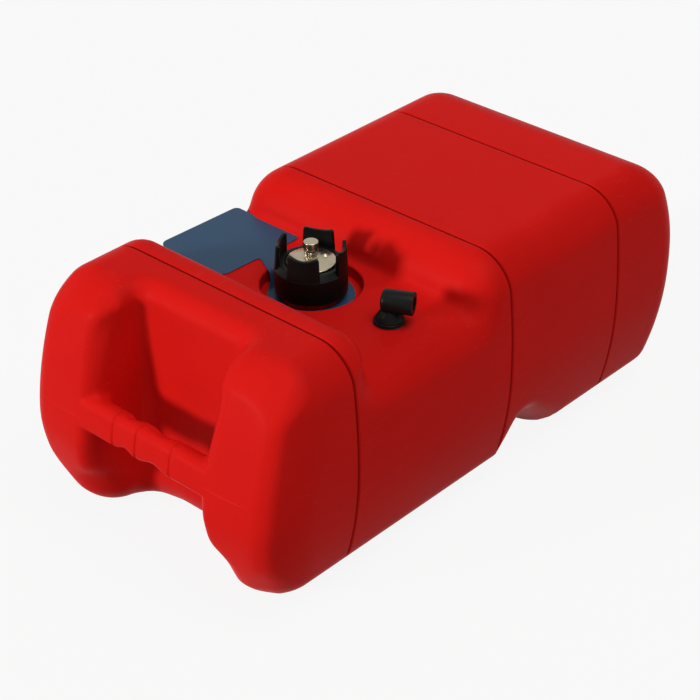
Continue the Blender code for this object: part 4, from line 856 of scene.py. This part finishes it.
# %% Tag's ring and tongue
TAG_THICK, TAG_TURN = 0.0007, math.radians(-1.8)
CARD_LEFT, CARD_RIGHT, CARD_START, CARD_END = -0.0455, 0.0474, 0.0615, 0.1415
LEFT_CORNER, RIGHT_CORNER, ROOT_CORNER = 0.009, 0.005, 0.005
HOOP_INNER, HOOP_OUTER, STRIP_START, STRIP_TAPER = 0.0265, 0.0370, 0.0310, 0.035
SEAT_GAP, RAMP_START, RAMP_LENGTH = 0.0003, 0.028, 0.012


def tag_height(y):
    """Height of the tag's underside: on the pocket's floor, up a smooth ramp, and on the deck."""
    return POCKET_FLOOR + SEAT_GAP + POCKET_DEPTH * ease((y - RAMP_START) / RAMP_LENGTH)


def rounding(y, corner):
    """How far a card's side is drawn in near its two ends: an arc of the corner's radius."""
    near = np.clip(corner - np.minimum(y - CARD_START, CARD_END - y), 0.0, corner)
    return corner - np.sqrt(corner ** 2 - near ** 2)


def sheet(x, y):
    """Points and faces of a sheet over a grid of places, with its thickness and its edges."""
    low = np.stack([x, y, tag_height(y)], axis=-1).reshape(-1, 3)
    index = np.arange(x.size).reshape(x.shape)
    quads = grid_faces(index)
    rim = np.concatenate([index[0, :-1], index[:-1, -1], index[-1, :0:-1], index[:0:-1, 0]])
    after = np.roll(rim, -1)
    edge = np.stack([rim, after, after + low.shape[0], rim + low.shape[0]], axis=1)
    high = low + (0.0, 0.0, TAG_THICK)
    return np.concatenate([low, high]), np.concatenate([quads[:, ::-1], quads + low.shape[0], edge])


def hung(points):
    """Turn the tag a little round the neck, as it hangs in the photograph."""
    x, y, z = points.T
    cos, sin = math.cos(TAG_TURN), math.sin(TAG_TURN)
    return np.stack([NECK[0] + x * cos - y * sin, NECK[1] + x * sin + y * cos, z], axis=1)


strip = np.linspace(STRIP_START, CARD_START - 0.00005, 34)
flat = CARD_START + (CARD_END - CARD_START) * (1.0 - np.cos(np.linspace(0.0, math.pi, 40))) / 2
share = (strip - STRIP_TAPER) / (CARD_START - STRIP_TAPER)
root = np.clip(strip - CARD_START + ROOT_CORNER, 0.0, ROOT_CORNER)
root = ROOT_CORNER - np.sqrt(ROOT_CORNER ** 2 - root ** 2)
left = np.concatenate([-0.0140 + 0.0130 * share - root, CARD_LEFT + rounding(flat, LEFT_CORNER)])
right = np.concatenate([0.0160 + 0.0010 * share + root, CARD_RIGHT - rounding(flat, RIGHT_CORNER)])
y = np.concatenate([strip, flat])
across = np.linspace(0.0, 1.0, 25)
x = left[:, None] * (1.0 - across) + right[:, None] * across
tongue, tongue_faces = sheet(x, np.broadcast_to(y[:, None], x.shape))
hoop = [(radius, 0.0) for radius in np.linspace(HOOP_INNER, HOOP_OUTER, 9)]
hoop_points, hoop_faces = turned(hoop + [(r, TAG_THICK) for r, _ in hoop[::-1]], (0.0, 0.0), ring=True)
hoop_points[:, 2] += tag_height(hoop_points[:, 1])
tag = put("blue_tag", closed_mesh("blue_tag", hung(hoop_points), hoop_faces))
print("tongue", combine(tag, "tongue", (hung(tongue), tongue_faces), 'UNION'), "faces")
soften(tag)

# %% [markdown]
# ## Shared effects
#
# Grain and scuffs are on more than one material. Copied nodes would do, but then a change in
# one would miss the others, so each effect is a node group with named sockets. A group gives
# only heights and masks, and the shader itself stays in its material.

# %% Helpers for node groups
def group_tree(name, inputs, outputs):
    """A new shader group: inputs are (name, value), outputs are names, and all of them are numbers."""
    made = bpy.data.node_groups.new(name, 'ShaderNodeTree')
    for label, value in inputs:
        socket = made.interface.new_socket(name=label, in_out='INPUT', socket_type='NodeSocketFloat')
        socket.default_value = value
    for label in outputs:
        made.interface.new_socket(name=label, in_out='OUTPUT', socket_type='NodeSocketFloat')
    return made, made.nodes.new("NodeGroupInput"), made.nodes.new("NodeGroupOutput")


def maths(tree, operation, first, second=None):
    """A Math node whose inputs are sockets or plain numbers. Returns its output."""
    node = tree.nodes.new("ShaderNodeMath")
    node.operation = operation
    for slot, value in enumerate((first, second)):
        if isinstance(value, (int, float)):
            node.inputs[slot].default_value = value
        elif value is not None:
            tree.links.new(value, node.inputs[slot])
    return node.outputs[0]


def noise(tree, vector, scale, detail=2.0, roughness=0.5):
    """A Noise node read at a vector. Scale is a socket, or a number of cells per metre."""
    node = tree.nodes.new("ShaderNodeTexNoise")
    node.inputs["Detail"].default_value = detail
    node.inputs["Roughness"].default_value = roughness
    tree.links.new(vector, node.inputs["Vector"])
    if isinstance(scale, (int, float)):
        node.inputs["Scale"].default_value = scale
    else:
        tree.links.new(scale, node.inputs["Scale"])
    return node.outputs["Fac"]


print("helpers ready")

# %% [markdown]
# Mould grain: the mould is sand blasted, so the plastic has fine even pits, and over them the
# slow waves of a skin that shrank as it cooled. A picture of grain would show its seams, and
# noise in the object's own space has none. The group adds the two as one height, and gives the
# slow part also as a tone that can tint a colour.

# %% Group: mould grain
grain, ins, outs = group_tree(
    "mould_grain", [("Pits per metre", 1400.0), ("Waves per metre", 22.0), ("Wave share", 0.5)],
    ["Height", "Tone"])
place = grain.nodes.new("ShaderNodeTexCoord").outputs["Object"]
pits = noise(grain, place, ins.outputs["Pits per metre"], 3.0, 0.6)
waves = noise(grain, place, ins.outputs["Waves per metre"], 2.0, 0.4)
share = ins.outputs["Wave share"]
fine = maths(grain, 'MULTIPLY', pits, maths(grain, 'SUBTRACT', 1.0, share))
grain.links.new(maths(grain, 'ADD', fine, maths(grain, 'MULTIPLY', waves, share)), outs.inputs["Height"])
grain.links.new(waves, outs.inputs["Tone"])
print("mould_grain:", len(grain.nodes), "nodes")

# %% [markdown]
# Scuffs: short thin scratches that cross one another, where the tank has been slid about. They
# could be painted by hand, but that would have to be done again on every piece. So each of
# three layers is a noise that is stretched along one direction and cut at a high level, and a
# wider noise leaves them only in patches. The group gives a mask that is above 0 in a scratch.

# %% Group: scuffs
SCRATCH_LEVEL, PATCH_LEVEL, PATCHES_PER_METRE = 0.74, 0.52, 9.0
scuffs, ins, outs = group_tree("scuffs", [("Amount", 0.5), ("Cells per metre", 60.0)], ["Mask"])
place = scuffs.nodes.new("ShaderNodeTexCoord").outputs["Object"]
masks = []
for turn, stretch in ((0.4, 18.0), (1.7, 24.0), (2.6, 14.0)):
    mapping = scuffs.nodes.new("ShaderNodeMapping")
    mapping.inputs["Rotation"].default_value = (turn, turn * 0.5, turn)
    mapping.inputs["Scale"].default_value = (1.0, stretch, stretch)
    scuffs.links.new(place, mapping.inputs["Vector"])
    line = noise(scuffs, mapping.outputs["Vector"], ins.outputs["Cells per metre"], 1.0, 0.4)
    masks.append(maths(scuffs, 'GREATER_THAN', line, SCRATCH_LEVEL))
where = noise(scuffs, place, PATCHES_PER_METRE, 2.0, 0.5)
either = maths(scuffs, 'MAXIMUM', masks[0], maths(scuffs, 'MAXIMUM', masks[1], masks[2]))
patchy = maths(scuffs, 'MULTIPLY', either, maths(scuffs, 'GREATER_THAN', where, PATCH_LEVEL))
scuffs.links.new(maths(scuffs, 'MULTIPLY', patchy, ins.outputs["Amount"]), outs.inputs["Mask"])
print("scuffs:", len(scuffs.nodes), "nodes")

# %% Helpers for materials
def finish(name, colour, roughness, metallic=0.0, specular=0.5):
    """A material with one Principled shader. Returns the material, its node tree and the shader."""
    made = bpy.data.materials.new(name)
    made.use_nodes = True
    shader = made.node_tree.nodes["Principled BSDF"]
    shader.inputs["Base Color"].default_value = (*colour, 1.0)
    shader.inputs["Roughness"].default_value = roughness
    shader.inputs["Metallic"].default_value = metallic
    shader.inputs["Specular IOR Level"].default_value = specular
    return made, made.node_tree, shader


def use_group(tree, group, **values):
    """Place a node group in a material, with its own values by socket name."""
    node = tree.nodes.new("ShaderNodeGroup")
    node.node_tree = group
    for label, value in values.items():
        node.inputs[label.replace("_", " ")].default_value = value
    return node


def bumped(tree, shader, height, depth):
    """Bump a shader by a height from 0 to 1 that stands for a depth in metres."""
    node = tree.nodes.new("ShaderNodeBump")
    node.inputs["Distance"].default_value = depth
    tree.links.new(height, node.inputs["Height"])
    tree.links.new(node.outputs["Normal"], shader.inputs["Normal"])


def ranged(tree, value, low, high):
    """Stretch a number from 0..1 to low..high."""
    return maths(tree, 'ADD', maths(tree, 'MULTIPLY', value, high - low), low)


def tinted(tree, mask, first, second):
    """From a first colour, plain or a socket, to a second one as the mask goes from 0 to 1."""
    node = tree.nodes.new("ShaderNodeMix")
    node.data_type = 'RGBA'
    tree.links.new(mask, node.inputs["Factor"])
    if isinstance(first, tuple):
        node.inputs["A"].default_value = (*first, 1.0)
    else:
        tree.links.new(first, node.inputs["A"])
    node.inputs["B"].default_value = (*second, 1.0)
    return node.outputs["Result"]


print("material helpers ready")

# %% [markdown]
# ## Finishes
#
# The red polyethylene is dyed all through. It is satin, slightly waxy and not quite even. Light
# that goes a little way in could be given by subsurface scattering, but on such a deep dye a
# plain red with a weak reflection looks the same and is quicker. A scratch in it turns a little
# paler, because it scatters light. The ring grooves get painted shade: a mask that is 1 near a
# ring's place along X mixes a darker red in, where the grooves lie in shade.

# %% Red polyethylene
# Painted shade in the ring grooves: how far from a ring it reaches, how fast it rises, and its most.
GROOVE_SHADE_REACH, GROOVE_SHADE_RISE, GROOVE_SHADE_MOST = 0.0013, 1600.0, 0.85
red, tree, shader = finish("red_polyethylene", (0.62, 0.0090, 0.0068), 0.42, specular=0.018)
grain_node = use_group(tree, grain, Pits_per_metre=1400.0, Waves_per_metre=22.0, Wave_share=0.65)
scuff_node = use_group(tree, scuffs, Amount=0.35, Cells_per_metre=60.0)
tone = tinted(tree, grain_node.outputs["Tone"], (0.60, 0.0080, 0.0062), (0.65, 0.0105, 0.0078))
scratched = tinted(tree, scuff_node.outputs["Mask"], tone, (0.66, 0.05, 0.04))
split = tree.nodes.new("ShaderNodeSeparateXYZ")
tree.links.new(tree.nodes.new("ShaderNodeTexCoord").outputs["Object"], split.inputs[0])
away = [maths(tree, 'ABSOLUTE', maths(tree, 'SUBTRACT', split.outputs["X"], ring)) for ring in RING_PLACES]
deep = maths(tree, 'MINIMUM', maths(tree, 'MINIMUM', away[0], away[1]), away[2])
groove_shade = maths(tree, 'MULTIPLY', maths(tree, 'SUBTRACT', GROOVE_SHADE_REACH, deep), GROOVE_SHADE_RISE)
groove_shade = maths(tree, 'MINIMUM', maths(tree, 'MAXIMUM', groove_shade, 0.0), GROOVE_SHADE_MOST)
# The darker red mixed in at the ring grooves is painted shade.
tree.links.new(tinted(tree, groove_shade, scratched, (0.26, 0.0035, 0.003)), shader.inputs["Base Color"])
tree.links.new(ranged(tree, grain_node.outputs["Tone"], 0.36, 0.46), shader.inputs["Roughness"])
bumped(tree, shader, grain_node.outputs["Height"], 0.00025)
print(red.name, "ready")

# %% [markdown]
# The cap, the bush and the elbow are black nylon from a polished mould, with a soft sheen and
# a trace of flow marks. An even black would look like a hole in the picture, so the grain
# varies its roughness, and the scuffs are a little grey.

# %% Black nylon
black, tree, shader = finish("black_nylon", (0.005, 0.005, 0.005), 0.34, specular=0.10)
grain_node = use_group(tree, grain, Pits_per_metre=2200.0, Waves_per_metre=90.0, Wave_share=0.4)
scuff_node = use_group(tree, scuffs, Amount=0.6, Cells_per_metre=160.0)
tree.links.new(tinted(tree, scuff_node.outputs["Mask"], (0.005, 0.005, 0.0045), (0.020, 0.020, 0.019)),
               shader.inputs["Base Color"])
tree.links.new(ranged(tree, grain_node.outputs["Tone"], 0.28, 0.42), shader.inputs["Roughness"])
bumped(tree, shader, grain_node.outputs["Height"], 0.00006)
print(black.name, "ready")

# %% [markdown]
# The gaskets and the O-ring are matt black rubber with a dusty bloom. Rubber differs from the
# nylon beside it mostly in how rough it is, so that, and a slow change of tone, are enough.

# %% Black rubber
rubber, tree, shader = finish("black_rubber", (0.02, 0.02, 0.02), 0.75)
grain_node = use_group(tree, grain, Pits_per_metre=3000.0, Waves_per_metre=120.0, Wave_share=0.3)
tree.links.new(tinted(tree, grain_node.outputs["Tone"], (0.014, 0.014, 0.014), (0.032, 0.031, 0.030)),
               shader.inputs["Base Color"])
bumped(tree, shader, grain_node.outputs["Height"], 0.00005)
print(rubber.name, "ready")

# %% [markdown]
# The dome and the knob are bright stainless steel, turned on a lathe. The tool leaves rings
# round the neck's axis. Cut as geometry they would need thousands of faces, so a wave of the
# distance to that axis gives them as a small bump.

# %% Bright steel
RINGS_PER_METRE = 9000.0
steel, tree, shader = finish("bright_steel", (0.45, 0.39, 0.28), 0.30, metallic=1.0)
place = tree.nodes.new("ShaderNodeTexCoord").outputs["Object"]
centred = tree.nodes.new("ShaderNodeMapping")
centred.inputs["Location"].default_value = (-NECK[0], 0.0, 0.0)
tree.links.new(place, centred.inputs["Vector"])
flat = tree.nodes.new("ShaderNodeVectorMath")
flat.operation = 'MULTIPLY'
flat.inputs[1].default_value = (1.0, 1.0, 0.0)
tree.links.new(centred.outputs["Vector"], flat.inputs[0])
reach = tree.nodes.new("ShaderNodeVectorMath")
reach.operation = 'LENGTH'
tree.links.new(flat.outputs["Vector"], reach.inputs[0])
rings = maths(tree, 'SINE', maths(tree, 'MULTIPLY', reach.outputs["Value"], RINGS_PER_METRE))
blotch = noise(tree, place, 260.0, 3.0, 0.6)
tree.links.new(ranged(tree, blotch, 0.18, 0.36), shader.inputs["Roughness"])
tree.links.new(tinted(tree, blotch, (0.50, 0.43, 0.31), (0.43, 0.37, 0.26)), shader.inputs["Base Color"])
bumped(tree, shader, maths(tree, 'MULTIPLY', rings, blotch), 0.00002)
print(steel.name, "ready")

# %% [markdown]
# The dip tube is a grey, slightly milky plastic. It is out of sight in the tank, and real glass
# or water would slow the picture for nothing, so it is a plain shade that varies a little.

# %% Grey dip tube
tube, tree, shader = finish("clear_grey_tube", (0.45, 0.45, 0.42), 0.4)
grain_node = use_group(tree, grain, Pits_per_metre=900.0, Waves_per_metre=60.0, Wave_share=0.6)
tree.links.new(tinted(tree, grain_node.outputs["Tone"], (0.38, 0.38, 0.36), (0.52, 0.52, 0.48)),
               shader.inputs["Base Color"])
print(tube.name, "ready")

# %% [markdown]
# The tag is a blue plastic card. It is smooth and slightly glossy, and it has a few soft
# creases. They are slow and shallow, so a bump with a large share of waves is enough.

# %% Blue card
card, tree, shader = finish("blue_card", (0.024, 0.066, 0.128), 0.36, specular=0.12)
grain_node = use_group(tree, grain, Pits_per_metre=1600.0, Waves_per_metre=40.0, Wave_share=0.8)
tree.links.new(tinted(tree, grain_node.outputs["Tone"], (0.021, 0.060, 0.118), (0.028, 0.073, 0.140)),
               shader.inputs["Base Color"])
tree.links.new(ranged(tree, grain_node.outputs["Tone"], 0.28, 0.44), shader.inputs["Roughness"])
bumped(tree, shader, grain_node.outputs["Height"], 0.00012)
print(card.name, "ready")

# %% [markdown]
# ## Dressing
#
# Every imported piece gets its finish. Nine of them are seen from so near that their flat faces
# would show, so a finer piece rides on the same body and stands for the imported one. Its slot
# keeps the finish's plain name.

# %% Dress the imported pieces
FINISHES = {
    "tank_shell": red, "filler_cap": black, "cap_gasket": rubber, "vent_dome": steel,
    "vent_bush": steel, "vent_knob": steel, "vent_seal": rubber, "vent_clip": steel,
    "pickup_gasket": rubber, "pickup_bush": black, "pickup_elbow": black, "elbow_oring": rubber,
    "elbow_retainer": steel, "dip_tube": tube, "tube_clamp": steel, "pickup_strainer": black,
    "neck_tag": card,
}
for name, piece in nodes.items():
    piece.data.materials.clear()
    piece.data.materials.append(FINISHES[name])
OWN = [
    (shell, red, "tank", "tank_shell"), (cap, black, "cap", "filler_cap"), (dome, steel, "cap", "vent_dome"),
    (bush, steel, "cap", "vent_bush"), (knob, steel, "knob", "vent_knob"), (seal, rubber, "seal", "vent_seal"),
    (flange, black, "tank", "pickup_bush"), (elbow, black, "elbow", "pickup_elbow"),
    (tag, card, "tag", "neck_tag"),
]
for piece, finish_of, body_name, node in OWN:
    piece.data.materials.clear()
    piece.data.materials.append(finish_of)
    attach(piece, body_name)
    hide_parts(node)
print("dressed", len(nodes), "pieces, and", len(OWN), "finer ones stand for their own")

# %% [markdown]
# ## Finish
#
# The plain view transform keeps colours as they are written.

# %% View transform
bpy.context.scene.view_settings.view_transform = 'Standard'
